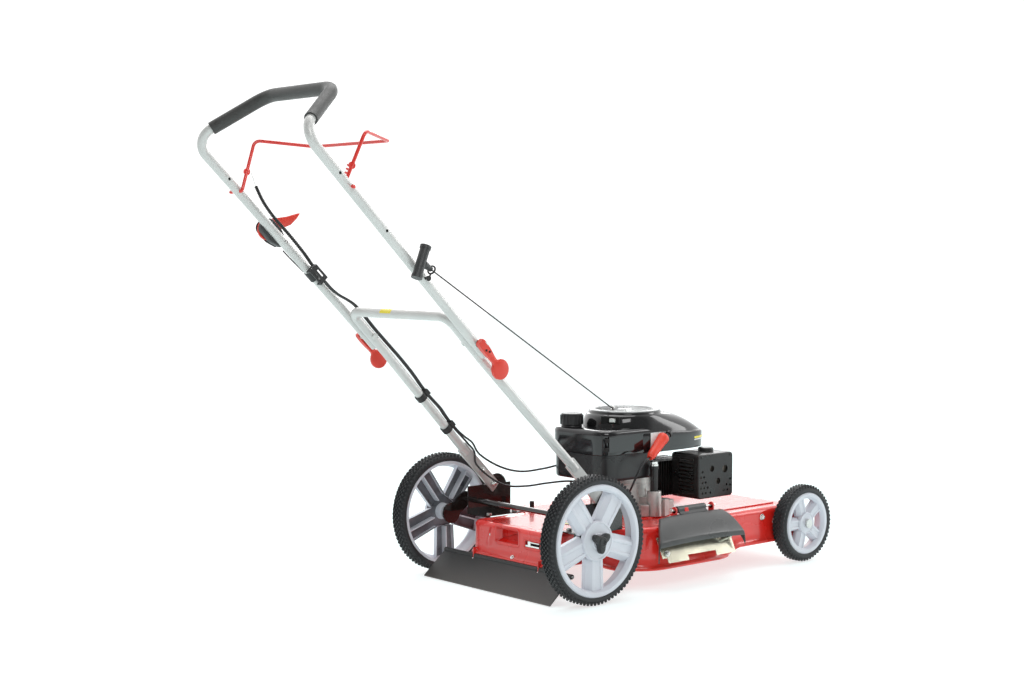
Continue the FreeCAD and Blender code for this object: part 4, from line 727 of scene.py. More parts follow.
def plate_fittings():
    """The wing bolt and screws of the plated guard under the hood."""
    mesh = bmesh.new()
    outside = (0, -0.9, 0.42)
    hexagon_bolt(mesh, (0.170, -0.2640, 0.112), outside, 0.009, 0.003, 0.006)
    hexagon_bolt(mesh, (0.180, -0.2745, 0.088), outside, 0.011, 0.005, 0.008)
    cone(mesh, facing(outside, (0.398, -0.276, 0.104)), 18, 0.004, 0.024)
    for turn in (-0.5, 0.5):
        slab(mesh, (0.004, 0.003, 0.022), placed((0.398, -0.287, 0.108), turn,
                                                 "Y") @ Matrix.Translation((0, 0, 0.010)))
    piece("plate_bolts", recalculated(mesh), "bright_zinc", "chassis", bevel=0.0004)


# ---------------------------------------------------------------- engine

CRANK_X = 0.304
CASE_BOLT_REACH = 0.094


def round_crank(angle, reach, height):
    """A point at an angle and a distance from the crank axis."""
    return Vector((CRANK_X + reach * math.cos(angle), reach * math.sin(angle), height))


def housing_reach(angle):
    """The shroud's outline as a distance from the crank axis: round behind, long and square ahead."""
    x, y = math.cos(angle), math.sin(angle)
    if x <= 0:
        return 0.118 - 0.008 * abs(y) ** 3
    power = 4
    return ((x / 0.224) ** power + (abs(y) / 0.110) ** power) ** (-1 / power)


def housing():
    """The black shroud: a skirt, a long nose that slopes down, and the dome over the flywheel."""
    mesh = bmesh.new()
    steps = 144
    sections = []
    skirt = [(0.311, -0.002), (0.311, 0.0), (0.348, 0.001), (0.358, 0.0008)]
    skirt += [(0.358 + 0.005 * math.sin(turn), 0.0008 - 0.005 * (1 - math.cos(turn)))
              for turn in (0.35, 0.7, 1.05, 1.4, 1.57)]
    for height, outset in skirt:
        section = []
        for step in range(steps):
            angle = 2 * math.pi * step / steps
            ahead = max(0.0, math.cos(angle)) ** 3
            reach = housing_reach(angle) + outset
            drop = 0.012 * ahead * step_between(height, 0.342, 0.363)
            section.append(round_crank(angle, reach, height - drop))
        sections.append(section)
    for inward, rise in ((0.04, 0.10), (0.08, 0.22), (0.14, 0.37), (0.22, 0.52), (0.32, 0.65), (0.44, 0.76),
                         (0.57, 0.85), (0.71, 0.92), (0.86, 0.97), (1.0, 1.0)):
        section = []
        for step in range(steps):
            angle = 2 * math.pi * step / steps
            ahead = max(0.0, math.cos(angle)) ** 3
            start = housing_reach(angle) - 0.0045
            reach = start + (0.0950 - start) * inward
            beside = 0.363 + 0.044 * rise
            nose = 0.351 + 0.056 * (1 - (1 - inward) ** 1.6)
            height = beside * (1 - ahead) + nose * ahead
            section.append(round_crank(angle, reach, height))
        sections.append(section)
    for reach, height in ((0.0938, 0.4100), (0.0925, 0.4125), (0.0910, 0.4135), (0.0895, 0.4130),
                          (0.0885, 0.408)):
        sections.append([round_crank(2 * math.pi * step / steps, reach, height) for step in range(steps)])
    loft(mesh, sections, caps=False)
    shroud = piece("blower_housing_piece", recalculated(mesh), "black_gloss", "chassis", smooth=48)
    thicken(shroud, 0.002)
    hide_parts("blower_housing")
    housing_trim()


def housing_trim():
    """The rope's eyelet and mouth, and the nose's accent stripes."""
    mesh = bmesh.new()
    revolve(mesh, [(0.0028, -0.002), (0.0028, 0.003), (0.0045, 0.004), (0.0060, 0.002), (0.0060, -0.002)],
            32, (0.2600, -0.0006, 0.4190), Vector((-0.772, -0.230, 0.369)))
    piece("rope_eyelet", recalculated(mesh), "bright_zinc", "chassis")
    # The rope's mouth is a near-black slab: painted shade of the opening.
    mesh = bmesh.new()
    slab(mesh, (0.006, 0.052, 0.020), placed((0.2080, -0.046, 0.3950), 0.40, "Z"))
    piece("rope_mouth", mesh, "painted_hole_shade", "chassis", bevel=0.003)
    mesh = bmesh.new()
    slab(mesh, (0.010, 0.016, 0.010), placed((0.2065, -0.056, 0.3950), 0.40, "Z"))
    slab(mesh, (0.006, 0.010, 0.014), placed((0.2050, -0.030, 0.3950), 0.3, "Z"))
    piece("rope_mouth_metal", mesh, "zinc_steel", "chassis", bevel=0.0015)
    for name, finish, low, high, proud in (("shroud_stripe_yellow", "yellow_label", 0.3345, 0.3400,
                                            0.0014), ("shroud_stripe_silver", "silver_label", 0.3305,
                                                      0.3335, 0.0014)):
        mesh = bmesh.new()
        inner, outer = [], []
        for step in range(15):
            angle = -math.radians(34 - 22 * step / 14)
            for row, reach in ((inner, housing_reach(angle) + 0.0002),
                               (outer, housing_reach(angle) + proud)):
                row.append((CRANK_X + reach * math.cos(angle), reach * math.sin(angle)))
        sections = [[Vector((*a, low)), Vector((*b, low)), Vector((*b, high)), Vector((*a, high))]
                    for a, b in zip(inner, outer)]
        loft(mesh, sections)
        piece(name, recalculated(mesh), finish, "chassis")


def grille():
    """The silver grille over the fan: a rim, rings and slanting spokes."""
    mesh = bmesh.new()
    top = 0.4130
    revolve(mesh, [(0.0895, top - 0.004), (0.0900, top + 0.0015), (0.087, top + 0.0032),
                   (0.079, top + 0.003), (0.0745, top - 0.001), (0.0745, top - 0.004)], 96,
            (CRANK_X, 0, 0), Z)
    for ring in (0.058, 0.042, 0.026):
        revolve(mesh, [(ring, top - 0.003), (ring, top + 0.0005), (ring + 0.0022, top + 0.0005),
                       (ring + 0.0022, top - 0.003)], 72, (CRANK_X, 0, 0), Z)
    revolve(mesh, [(0.0005, top - 0.003), (0.0005, top + 0.0022), (0.016, top + 0.0022),
                   (0.019, top + 0.0008), (0.019, top - 0.003)], 48, (CRANK_X, 0, 0), Z)
    for number in range(40):
        turn = placed((CRANK_X, 0, top - 0.001), math.radians(9 * number), "Z")
        slab(mesh, (0.058, 0.0020, 0.0035), turn @ placed((0.047, 0, 0), 0.5, "X"))
    item = piece("starter_grille_piece", recalculated(mesh), "grille_silver", "chassis", bevel=0.0003)
    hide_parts("starter_grille")


def tank():
    """The moulded tank: a narrower lower half, a seam and a glossy upper half."""
    lower = rounded_outline([(0.133, -0.102, 0.042), (0.300, -0.102, 0.006), (0.300, 0.102, 0.006),
                             (0.133, 0.102, 0.042)], 0.005)
    levels = [(0.2462, -0.010), (0.2462, -0.005), (0.2475, -0.002), (0.2505, -0.0004), (0.256, 0.0),
              (0.309, 0.0), (0.3095, 0.0028), (0.3125, 0.0030), (0.3132, 0.0014)]
    bottom = piece("fuel_tank_lower", recalculated(stacked(lower, levels)), "tank_satin", "chassis",
                   smooth=40)
    upper = rounded_outline([(0.130, -0.1055, 0.044), (0.318, -0.1055, 0.020), (0.318, 0.1055, 0.020),
                             (0.130, 0.1055, 0.044)], 0.005)
    levels = [(0.313, -0.004), (0.3134, -0.0005), (0.3145, 0.0), (0.362, 0.0)]
    levels += fillet_levels(0.3755, 0.0, 0.0125, 7) + [(0.3755, -0.03)]
    top = piece("fuel_tank_upper", recalculated(stacked(upper, levels)), "black_gloss", "chassis",
                smooth=40)
    for item in (bottom, top):
        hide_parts("fuel_tank")
    mesh = bmesh.new()
    slab(mesh, (0.088, 0.0014, 0.040), Matrix.Translation((0.190, -0.1058, 0.341)))
    piece("tank_panel", mesh, "tank_panel_gloss", "chassis", bevel=0.0006)
    mesh = bmesh.new()
    slab(mesh, (0.038, 0.0014, 0.040), Matrix.Translation((0.306, -0.1120, 0.3420)))
    piece("shroud_patch", mesh, "silver_label", "chassis", bevel=0.0006)
    mesh = bmesh.new()
    revolve(mesh, [(0.0205, 0.3750), (0.0270, 0.3750), (0.0250, 0.3800), (0.0205, 0.3800)], 48,
            (0.165, 0.052, 0), Z)
    piece("tank_neck_ring", recalculated(mesh), "black_plastic", "chassis")
    # Two small near-black slabs on the tank's side: painted shade of recesses.
    mesh = bmesh.new()
    for x, z in ((0.136, 0.352), (0.136, 0.330)):
        slab(mesh, (0.012, 0.003, 0.010), Matrix.Translation((x + 0.004, -0.1042, z)))
    piece("tank_recess_shade", mesh, "painted_hole_shade", "chassis", bevel=0.001)


def boot():
    """The rubber spark-plug boot: a tapered body with a lip round its open top."""
    low, high = Vector((0.2585, -0.1370, 0.303)), Vector((0.3290, -0.1170, 0.3490))
    length = (high - low).length
    mesh = bmesh.new()
    revolve(mesh, [(0.0005, 0.0), (0.0066, 0.0), (0.0086, 0.003), (0.0108, 0.010), (0.0124, 0.030),
                   (0.0142, length - 0.014), (0.0152, length - 0.012), (0.0156, length - 0.002),
                   (0.0146, length), (0.0100, length), (0.0096, length - 0.010), (0.0005, length - 0.011)],
            48, low, high - low)
    item = piece("plug_boot_piece", recalculated(mesh), "red_rubber", "chassis", smooth=30)
    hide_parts("plug_boot")
    mesh = bmesh.new()
    hose(mesh, smooth_path([low + (high - low) * 0.02, (0.240, -0.1400, 0.2970), (0.217, -0.1390, 0.2720),
                            (0.206, -0.1310, 0.2420), (0.206, -0.1150, 0.2150)]), lambda index: 0.0027)
    lead = piece("plug_lead_piece", recalculated(mesh), "cable_jacket", "chassis", smooth=60)
    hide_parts("plug_lead")


def guard():
    """The muffler's cover: rounded sheet with louvres, holes and a round cap on top."""
    outline = rounded_outline([(0.424, 0.181, 0.010), (0.557, 0.181, 0.010), (0.557, 0.297, 0.010),
                               (0.424, 0.297, 0.010)], 0.004)
    mesh = bmesh.new()
    sections = []
    for y, inset in ((-0.0545, 0.0), (-0.146, 0.0), (-0.1485, -0.0008), (-0.1497, -0.0022),
                     (-0.150, -0.004)):
        sections.append([Vector((point.x, y, point.y)) for point in outward(outline, inset)])
    loft(mesh, sections)
    mesh.faces.ensure_lookup_table()
    inner = [face for face in mesh.faces if len(face.verts) > 8 and face.calc_center_median().y > -0.1]
    bmesh.ops.delete(mesh, geom=inner, context="FACES_ONLY")
    shell = piece("muffler_guard_piece", recalculated(mesh), "black_engine_paint", "chassis", smooth=40)
    thicken(shell, 0.0016)
    holes = bmesh.new()
    for x, z, radius in guard_holes():
        cone(holes, facing(Y, (x, -0.150, z)), 28, radius, 0.012)
    for number in range(9):
        slab(holes, (0.010, 0.050, 0.0042), Matrix.Translation((0.424, -0.109, 0.203 + 0.010 * number)))
    cutter = linked_mesh("guard_holes", recalculated(holes))
    trim = shell.modifiers.new("holes", "BOOLEAN")
    trim.operation = "DIFFERENCE"
    trim.object = cutter
    trim.solver = "EXACT"
    bpy.context.view_layer.update()
    finished = bpy.data.meshes.new_from_object(shell.evaluated_get(bpy.context.evaluated_depsgraph_get()))
    finished.polygons.foreach_set("use_smooth", [False] * len(finished.polygons))
    shell.modifiers.clear()
    shell.data = finished
    bpy.data.objects.remove(cutter)
    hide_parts("muffler_guard")
    mesh = bmesh.new()
    revolve(mesh, [(0.0005, 0.2985), (0.0005, 0.3080), (0.0165, 0.3080), (0.0195, 0.3065), (0.0205, 0.3030),
                   (0.0205, 0.2985)], 48, (0.505, -0.100, 0), Z)
    for number in range(9):
        z = 0.2065 + 0.010 * number
        slab(mesh, (0.0012, 0.050, 0.0050), placed((0.4222, -0.109, z), 0.6, "Y"))
    for x, z in ((0.436, 0.292), (0.545, 0.292)):
        hexagon_bolt(mesh, (x, -0.1502, z - 0.002), -Y, 0.006, 0.0014)
    piece("muffler_guard_trim", recalculated(mesh), "black_engine_paint", "chassis", smooth=40)


def guard_holes():
    """(x, z, radius) of the round holes in the muffler cover's outer face."""
    corner_x, corner_z = 0.424, 0.182
    large = [(52, 76, 8), (102, 72, 10), (76, 42, 8)]
    small = [(16, 14), (28, 14), (46, 14), (10, 28), (22, 28), (36, 28), (16, 42), (28, 42), (10, 56),
             (22, 56), (16, 70), (98, 16), (112, 16), (122, 28), (108, 30), (122, 44)]
    holes = large + [(x, z, 3.1) for x, z in small]
    return [(corner_x + x / 1000, corner_z + z / 1000, radius / 1000) for x, z, radius in holes]


def engine_castings():
    """Cast ribs, bosses and bolts round the crankcase, and the bright filler neck."""
    mesh = bmesh.new()
    for number in range(14):
        angle = math.radians(150 + 17 * number)
        turn = placed((CRANK_X, 0, 0.186), angle, "Z")
        slab(mesh, (0.014, 0.005, 0.058), turn @ Matrix.Translation((0.074, 0, 0)))
    for height in (0.205, 0.228, 0.246, 0.262):
        revolve(mesh, [(0.070, height - 0.0018), (0.0785, height - 0.0018), (0.0785, height + 0.0018),
                       (0.070, height + 0.0018)], 72, (CRANK_X, 0, 0), Z)
    for number in range(8):
        angle = math.radians(180 + 26 * number)
        at = round_crank(angle, CASE_BOLT_REACH, 0.150)
        revolve(mesh, [(0.0005, 0.0), (0.0005, 0.020), (0.0085, 0.020), (0.0095, 0.018), (0.0105, 0.0)],
                24, at, Z)
    revolve(mesh, [(0.0105, 0.150), (0.0105, 0.214), (0.0175, 0.214), (0.0185, 0.211), (0.0195, 0.150)], 40,
            (0.294, -0.118, 0), Z)
    slab(mesh, (0.050, 0.030, 0.034), Matrix.Translation((0.345, -0.100, 0.168)))
    slab(mesh, (0.030, 0.026, 0.044), placed((0.322, -0.120, 0.170), 0.4, "Z"))
    slab(mesh, (0.022, 0.020, 0.030), placed((0.262, -0.112, 0.166), -0.3, "Z"))
    piece("crankcase_ribs", recalculated(mesh), "cast_aluminium", "chassis", bevel=0.0012, smooth=40)
    mesh = bmesh.new()
    for number in range(8):
        angle = math.radians(180 + 26 * number)
        hexagon_bolt(mesh, round_crank(angle, CASE_BOLT_REACH, 0.170), Z, 0.010, 0.005, 0.007)
    piece("crankcase_bolts", recalculated(mesh), "bright_zinc", "chassis", bevel=0.0004)


# ---------------------------------------------------------------- tubes and cables

def smooth_path(route, steps=6):
    """Points along a smooth curve through every point of a route."""
    points = [Vector(point) for point in route]
    points = [points[0] * 2 - points[1]] + points + [points[-1] * 2 - points[-2]]
    path = []
    for before, here, after, last in zip(points, points[1:], points[2:], points[3:]):
        for step in range(steps):
            t = step / steps
            curve = 2 * before - 5 * here + 4 * after - last
            path.append((2 * here + (after - before) * t + curve * t ** 2
                         + (3 * here - before - 3 * after + last) * t ** 3) / 2)
    return path + [points[-2]]


def hose(mesh, path, radius_at, sides=14):
    """A round skin along a path, whose radius may change on the way."""
    sections = []
    normal = (path[1] - path[0]).orthogonal()
    for index, point in enumerate(path):
        along = (path[min(index + 1, len(path) - 1)] - path[max(index - 1, 0)]).normalized()
        normal = (normal - along * normal.dot(along)).normalized()
        across = along.cross(normal)
        turns = [2 * math.pi * side / sides for side in range(sides)]
        sections.append([point + (normal * math.cos(turn) + across * math.sin(turn)) * radius_at(index)
                         for turn in turns])
    return loft(mesh, sections)


def leg_point(distance, across=0.0, lift=0.0):
    """A point at the left leg: its distance below the fold, then inwards, then off the leg's top."""
    tilt = math.radians(45.1)
    y = 0.1845 + max(distance - 0.055, 0) * 0.05
    return Vector((FOLD_X + distance * math.cos(tilt) + lift * math.sin(tilt), y - across,
                   FOLD_Z - distance * math.sin(tilt) + lift * math.cos(tilt)))


def upper_point(height):
    """The point of the left upper tube's centre line at a height."""
    distance = (height - FOLD_Z) / math.sin(TILT)
    y = 0.2085 + max(distance - 0.055, 0) * 0.02101
    return Vector((FOLD_X - distance * math.cos(TILT), y, height))


OVER_CROSSBAR = ((-0.190, 0.0002), (-0.162, 0.0008), (-0.138, 0.005), (-0.114, 0.013), (-0.092, 0.0185),
                 (-0.066, 0.0195), (-0.038, 0.0185))
ALONG_LEG = ((-0.006, 0.0172), (0.048, 0.018), (0.102, 0.020), (0.155, 0.020), (0.202, 0.017),
             (0.242, 0.017), (0.284, 0.0195), (0.320, 0.017), (0.362, 0.017))


def cables():
    """The two control cables and the rope, baked in place."""
    throttle = [leg_point(distance, -0.0005 + 0.0075 * (distance + 0.190) / 0.184, lift)
                for distance, lift in OVER_CROSSBAR]
    throttle += [leg_point(distance, 0.007, lift) for distance, lift in ALONG_LEG]
    throttle += [leg_point(0.392, 0.011, 0.019), leg_point(0.421, 0.019, 0.022)]
    throttle += [(-0.036, 0.180, 0.306), (0.018, 0.166, 0.272), (0.074, 0.148, 0.256),
                 (0.134, 0.128, 0.260), (0.196, 0.118, 0.268), (0.258, 0.112, 0.270), (0.316, 0.104, 0.266)]
    brake = [leg_point(distance, -0.007 + 0.006 * (distance + 0.190) / 0.184, lift)
             for distance, lift in OVER_CROSSBAR]
    brake += [leg_point(distance, -0.001, lift) for distance, lift in ALONG_LEG]
    brake += [leg_point(0.394, 0.0, 0.0185), leg_point(0.421, 0.004, 0.018), leg_point(0.446, 0.014, 0.013)]
    brake += [(-0.040, 0.190, 0.281), (-0.006, 0.177, 0.246), (0.034, 0.158, 0.222), (0.086, 0.138, 0.218),
              (0.140, 0.122, 0.222), (0.196, 0.105, 0.224), (0.236, 0.084, 0.220)]
    for name, route in (("throttle_cable", throttle), ("brake_cable", brake)):
        mesh = bmesh.new()
        hose(mesh, smooth_path(route), lambda index: 0.0026)
        cable = piece(f"{name}_piece", recalculated(mesh), "cable_jacket", smooth=60)
        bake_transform(cable)
        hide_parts(name)
    low, high = Vector((0.262, 0, 0.417)), Vector((-0.510, -0.230, 0.786))
    high += (high - low).normalized() * 0.0025
    mesh = bmesh.new()
    path = [low.lerp(high, step / 240) for step in range(241)]
    hose(mesh, path, lambda index: 0.00155 + 0.0002 * (index % 2), 10)
    rope = piece("starter_rope_piece", recalculated(mesh), "rope", smooth=60)
    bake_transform(rope)
    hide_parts("starter_rope")


def sleeve():
    """The ribbed rubber boot over the brake cable."""
    route = [(-0.683, 0.200, 0.974), (-0.666, 0.195, 0.938), (-0.641, 0.188, 0.902),
             (-0.603, 0.1865, 0.864), (-0.563, 0.188, 0.823), (-0.536, 0.1905, 0.792)]
    path = smooth_path(route, 44)
    mesh = bmesh.new()
    hose(mesh, path, lambda index: 0.0032 if index % 4 < 2 else 0.0044, 16)
    item = piece("cable_sleeve_piece", recalculated(mesh), "rubber", "upper_handle", smooth=25)
    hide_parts("cable_sleeve")


# ---------------------------------------------------------------- controls

def bent_plate(mesh, outline, sections, place):
    """A part with an outline, through (across, inset) sections, under a matrix."""
    loops = []
    for across, inset in sections:
        loops.append([place @ Vector((point.x, across, point.y)) for point in outward(outline, -inset)])
    return loft(mesh, loops)


def throttle_pod():
    """The throttle's housing: a teardrop shell around the back of the tube, and its lever."""
    place = placed(upper_point(0.866), TILT, "Y")
    outline = rounded_outline([(-0.040, -0.0205, 0.017), (0.006, -0.0215, 0.030), (0.036, -0.011, 0.006),
                               (0.036, 0.011, 0.006), (0.006, 0.0215, 0.030), (-0.040, 0.0205, 0.017)],
                              0.003)
    mesh = bmesh.new()
    bent_plate(mesh, outline, [(0.002, 0.002), (0.004, 0.0006), (0.008, 0.0), (0.0165, 0.0),
                               (0.0175, 0.0012)], place)
    bent_plate(mesh, outline, [(0.0265, 0.0012), (0.0275, 0.0), (0.0300, 0.0010), (0.0318, 0.003),
                               (0.0322, 0.006)], place)
    bent_plate(mesh, outward(outline, -0.006), [(0.0170, 0.0), (0.0270, 0.0)], place)
    cone(mesh, place @ facing(Y, (-0.014, 0.0325, 0)), 32, 0.005, 0.002)
    pod = piece("throttle_housing_piece", recalculated(mesh), "dark_plastic", "upper_handle", bevel=0.0004)
    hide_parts("throttle_housing")
    mesh = bmesh.new()
    hexagon_bolt(mesh, place @ Vector((0.028, -0.0108, 0)), -Y, 0.006, 0.002, 0.0045)
    hexagon_bolt(mesh, place @ Vector((0.028, 0.0322, 0)), Y, 0.005, 0.0015, 0.004)
    piece("throttle_screws", recalculated(mesh), "bright_zinc", "upper_handle")
    mesh = bmesh.new()
    disc = rounded_outline([(-0.0385, -0.0245, 0.0240), (0.0105, -0.0245, 0.0240), (0.0105, 0.0245, 0.0240),
                            (-0.0385, 0.0245, 0.0240)], 0.002)
    bent_plate(mesh, disc, [(0.0188, 0.001), (0.0198, 0.0), (0.0245, 0.0), (0.0255, 0.001)], place)
    claw = rounded_outline([(-0.030, 0.008, 0.003), (0.006, 0.012, 0.004), (0.015, 0.034, 0.004),
                            (0.0245, 0.0535, 0.003), (0.0262, 0.0760, 0.003), (0.0240, 0.0925, 0.0012),
                            (0.004, 0.060, 0.010), (-0.020, 0.030, 0.006)], 0.002)
    bent_plate(mesh, claw, [(0.0185, 0.0015), (0.0195, 0.0), (0.0260, 0.0), (0.0270, 0.0015)], place)
    lever = piece("throttle_lever_piece", recalculated(mesh), "red_plastic", "throttle_lever", bevel=0.0004)
    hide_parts("throttle_lever")


def cam_levers():
    """The moulded cam levers, each a strap that narrows and ends in a round paddle."""
    length = Vector((0.673, 0, -0.740))
    depth = Vector((0.740, 0, 0.673))
    outline = []
    strap = [(-0.009, 0.0075), (-0.004, 0.0098), (0.010, 0.0100), (0.026, 0.0090), (0.042, 0.0072),
             (0.054, 0.0066)]
    outline += [Vector((x, -z)) for x, z in strap]
    for step in range(33):
        angle = math.radians(-158 + 316 * step / 32)
        outline.append(Vector((0.080 + 0.0235 * math.cos(angle), 0.0235 * math.sin(angle))))
    outline += [Vector((x, z)) for x, z in reversed(strap)]
    for name, side in (("left", 1), ("right", -1)):
        pivot = Vector((FOLD_X, 0.2305 * side, FOLD_Z))
        place = Matrix.Identity(4)
        for column, axis in enumerate((length, Y, depth)):
            for row in range(3):
                place[row][column] = axis[row]
        place.translation = pivot
        mesh = bmesh.new()
        loops = []
        for across, inset in ((-1.0, 0.0014), (-0.84, 0.0), (0.84, 0.0), (1.0, 0.0014)):
            loop = []
            for point in outward(outline, -inset):
                half = 0.0068 - 0.0030 * step_between(point.x, 0.020, 0.060)
                loop.append(place @ Vector((point.x, across * half, point.y)))
            loops.append(loop)
        loft(mesh, loops)
        lever = piece(f"cam_lever_{name}_piece", recalculated(mesh), "red_plastic", f"cam_lever_{name}",
                      bevel=0.0004)
        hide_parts(f"cam_lever_{name}")
        # The lever's holes are filled with near-black rods: painted shade inside the holes.
        mesh = bmesh.new()
        for x, z, radius in ((0.017, -0.003, 0.0026), (0.026, 0.002, 0.0024)):
            cone(mesh, place @ facing(Y, (x, 0, z)), 24, radius, 0.0138)
        piece(f"cam_holes_{name}", recalculated(mesh), "painted_hole_shade", f"cam_lever_{name}")
        mesh = bmesh.new()
        slab(mesh, (0.010, 0.0142, 0.003), place @ Matrix.Translation((0.006, 0, 0.0085)))
        piece(f"cam_clip_{name}", recalculated(mesh), "bright_zinc", f"cam_lever_{name}", bevel=0.0004)


def bail_ends():
    """The stubs outside the tubes and the small coil at the ends of the bail."""
    foot = upper_point(0.962)
    mesh = bmesh.new()
    for side in (1, -1):
        outside = foot.y + 0.0145
        route = [(foot.x, outside * side, foot.z), (foot.x, (outside + 0.005) * side, foot.z),
                 (foot.x - 0.002, (outside + 0.009) * side, foot.z - 0.002),
                 (foot.x - 0.007, (outside + 0.010) * side, foot.z - 0.001)]
        hose(mesh, smooth_path(route), lambda index: 0.0036)
    low, high = Vector((-0.7095, -0.1990, 0.990)), Vector((-0.7040, -0.2000, 1.006))
    for turn in range(3):
        at = low.lerp(high, turn / 2)
        ring = [(0.0048 + 0.0013 * math.cos(a), 0.0013 * math.sin(a)) for a in
                [2 * math.pi * step / 12 for step in range(12)]]
        revolve(mesh, ring, 24, at, high - low + Vector((0.004, 0, 0)))
    piece("bail_hooks", recalculated(mesh), "red_paint", "bail", smooth=50)


def handle_trim():
    """The label on the crossbar and the bolt heads at the feet of the handle."""
    mesh = bmesh.new()
    place = placed((-0.4307, 0.034, 0.6809), -0.75, "Y")
    inner, outer = [], []
    for step in range(9):
        angle = math.radians(-42 + 84 * step / 8)
        for row, radius in ((inner, 0.0108), (outer, 0.0113)):
            row.append((radius * math.sin(angle), radius * math.cos(angle)))
    ends = [[place @ Vector((x, y, z)) for x, z in inner + outer[::-1]] for y in (-0.021, 0.021)]
    loft(mesh, ends)
    piece("crossbar_label", recalculated(mesh), "yellow_label", "chassis", smooth=60)
    mesh = bmesh.new()
    for side in (1, -1):
        for distance in (0.505, 0.558):
            at = leg_point(distance)
            hexagon_bolt(mesh, (at.x, 0.1945 * side, at.z), -Y * side, 0.0115, 0.0050, 0.0085)
            hexagon_bolt(mesh, (at.x, 0.2168 * side, at.z), Y * side, 0.0115, 0.0040)
    piece("foot_bolts", recalculated(mesh), "bright_zinc", "chassis", bevel=0.0004)


def hub_trim():
    """The black three-lobed knobs and the bright bolts in the middle of the wheels."""
    mesh = bmesh.new()
    for side in (1, -1):
        face = HUB_FACE * side
        loops = []
        for out, scale in ((0.0, 0.94), (0.0015, 1.0), (0.0105, 1.0), (0.0125, 0.93), (0.0132, 0.80)):
            loop = []
            for step in range(72):
                angle = 2 * math.pi * step / 72
                lobe = 0.5 + 0.5 * math.cos(3 * angle)
                radius = (0.0135 + 0.0150 * lobe ** 1.6) * scale
                loop.append(Vector((REAR_AXLE_X + radius * math.sin(angle), face + out * side,
                                    REAR_R - radius * math.cos(angle))))
            loops.append(loop)
        loft(mesh, loops)
        revolve(mesh, [(0.0055, 0.0), (0.0055, 0.0150), (0.0105, 0.0150), (0.0115, 0.0135), (0.0115, 0.0)],
                40, (REAR_AXLE_X, face, REAR_R), Y * side)
    knobs = piece("hub_knobs_piece", recalculated(mesh), "black_plastic", "rear_axle", bevel=0.0006)
    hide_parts("hub_knobs")
    mesh = bmesh.new()
    for side in (1, -1):
        revolve(mesh, [(0.0008, 0.0), (0.0008, 0.0118), (0.0052, 0.0118), (0.0052, 0.0)], 24,
                (REAR_AXLE_X, HUB_FACE * side, REAR_R), Y * side)
    piece("hub_bolts", recalculated(mesh), "bright_zinc", "rear_axle", bevel=0.0004)


# ---------------------------------------------------------------- camera, floor and light

def looking(at, direction):
    """A matrix for a camera or light at a point that looks along a direction."""
    return Matrix.Translation(at) @ direction.to_track_quat("-Z", "Y").to_matrix().to_4x4()


def camera():
    """The camera that looks over the right rear corner of the mower."""
    data = bpy.data.cameras.new("camera")
    data.lens = 58.65
    data.sensor_width = 36
    data.clip_start = 0.05
    item = linked("camera", data)
    heading, pitch = math.radians(40.7055), math.radians(3.33)
    forward = Vector((math.sin(heading) * math.cos(pitch), math.cos(heading) * math.cos(pitch),
                      -math.sin(pitch)))
    item.matrix_world = looking((-2.735, -3.0834, 0.841), forward)
    bpy.context.scene.camera = item


def area_light(name, at, target, size, power):
    """A square softbox that looks at a point."""
    data = bpy.data.lights.new(name, "AREA")
    data.shape = "RECTANGLE"
    data.size, data.size_y = size
    data.energy = power
    linked(name, data).matrix_world = looking(at, Vector(target) - Vector(at))


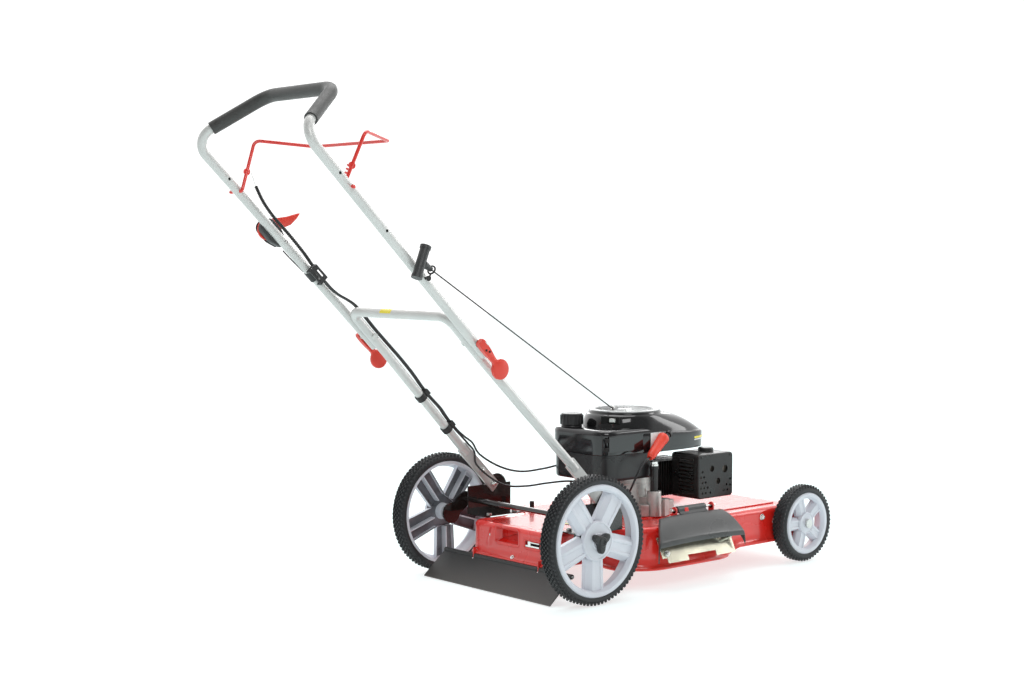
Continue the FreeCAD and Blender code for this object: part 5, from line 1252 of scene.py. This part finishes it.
def room_light():
    """A room that is white to the camera, dim behind it and bright beyond the mower."""
    world = bpy.data.worlds.new("room")
    world.use_nodes = True
    nodes, links = world.node_tree.nodes, world.node_tree.links
    background = nodes["Background"]
    background.inputs["Color"].default_value = WHITE
    direction = nodes.new("ShaderNodeTexCoord").outputs["Generated"]
    beyond = nodes.new("ShaderNodeVectorMath")
    beyond.operation = "DOT_PRODUCT"
    beyond.inputs[1].default_value = (0.65, 0.757, 0.05)
    links.new(direction, beyond.inputs[0])
    strength = nodes.new("ShaderNodeMapRange")
    strength.inputs["From Min"].default_value = -0.35
    strength.inputs["From Max"].default_value = 0.65
    strength.inputs["To Min"].default_value = 0.26
    strength.inputs["To Max"].default_value = 1.5
    links.new(beyond.outputs["Value"], strength.inputs["Value"])
    seen = nodes.new("ShaderNodeLightPath").outputs["Is Camera Ray"]
    pick = nodes.new("ShaderNodeMix")
    pick.inputs["B"].default_value = 1.0
    links.new(seen, pick.inputs["Factor"])
    links.new(strength.outputs["Result"], pick.inputs["A"])
    links.new(pick.outputs["Result"], background.inputs["Strength"])
    bpy.context.scene.world = world


def glowing(item, finish, colour, strength):
    """Gives a piece of the studio a finish that also glows, and puts it on the stage."""
    shader = finish.node_tree.nodes["Principled BSDF"]
    shader.inputs["Emission Color"].default_value = colour
    shader.inputs["Emission Strength"].default_value = strength
    item.data.materials.append(finish)


def backdrop():
    """A glowing white wall far beyond the mower."""
    mesh = bmesh.new()
    slab(mesh, (60, 40, 0.1), facing((-0.65, -0.757, 0), (10.4, 12.1, 0)))
    paper = finish_of("backdrop", (0.2, 0.2, 0.2), rough=0.7, specular=0.0, mottle=(0.3, 0.01),
                      grain=(20, 0.01, 0.0005))
    glowing(linked_mesh("backdrop", mesh), paper, WHITE, 1.15)


def studio():
    """A wide white floor, a white wall, the room and softboxes."""
    mesh = bmesh.new()
    bmesh.ops.create_grid(mesh, x_segments=1, y_segments=1, size=30)
    paper = finish_of("floor", (0.33, 0.46, 0.46), rough=0.6, specular=0.12, mottle=(0.6, 0.01),
                      grain=(60, 0.02, 0.0005))
    glowing(linked_mesh("floor", mesh), paper, (1, 0.97, 0.97, 1), 0.70)
    backdrop()
    room_light()
    area_light("key", (-1.6, -3.0, 3.0), (0.1, 0, 0.3), (1.6, 1.6), 40)
    area_light("top", (0.5, 0.4, 3.4), (0.1, 0, 0.2), (2.4, 2.4), 44)
    area_light("back", (2.4, 2.6, 1.8), (0.1, 0, 0.4), (2.2, 1.4), 40)
    area_light("side", (3.0, -1.6, 1.6), (0.2, 0, 0.3), (1.0, 1.8), 22)
    bpy.context.scene.view_settings.view_transform = "Standard"


camera()
studio()
paint_cad_nodes()
wheels()
hub_trim()
deck()
hood()
plate_fittings()
housing()
grille()
tank()
boot()
guard()
engine_castings()
cables()
sleeve()
throttle_pod()
cam_levers()
bail_ends()
handle_trim()
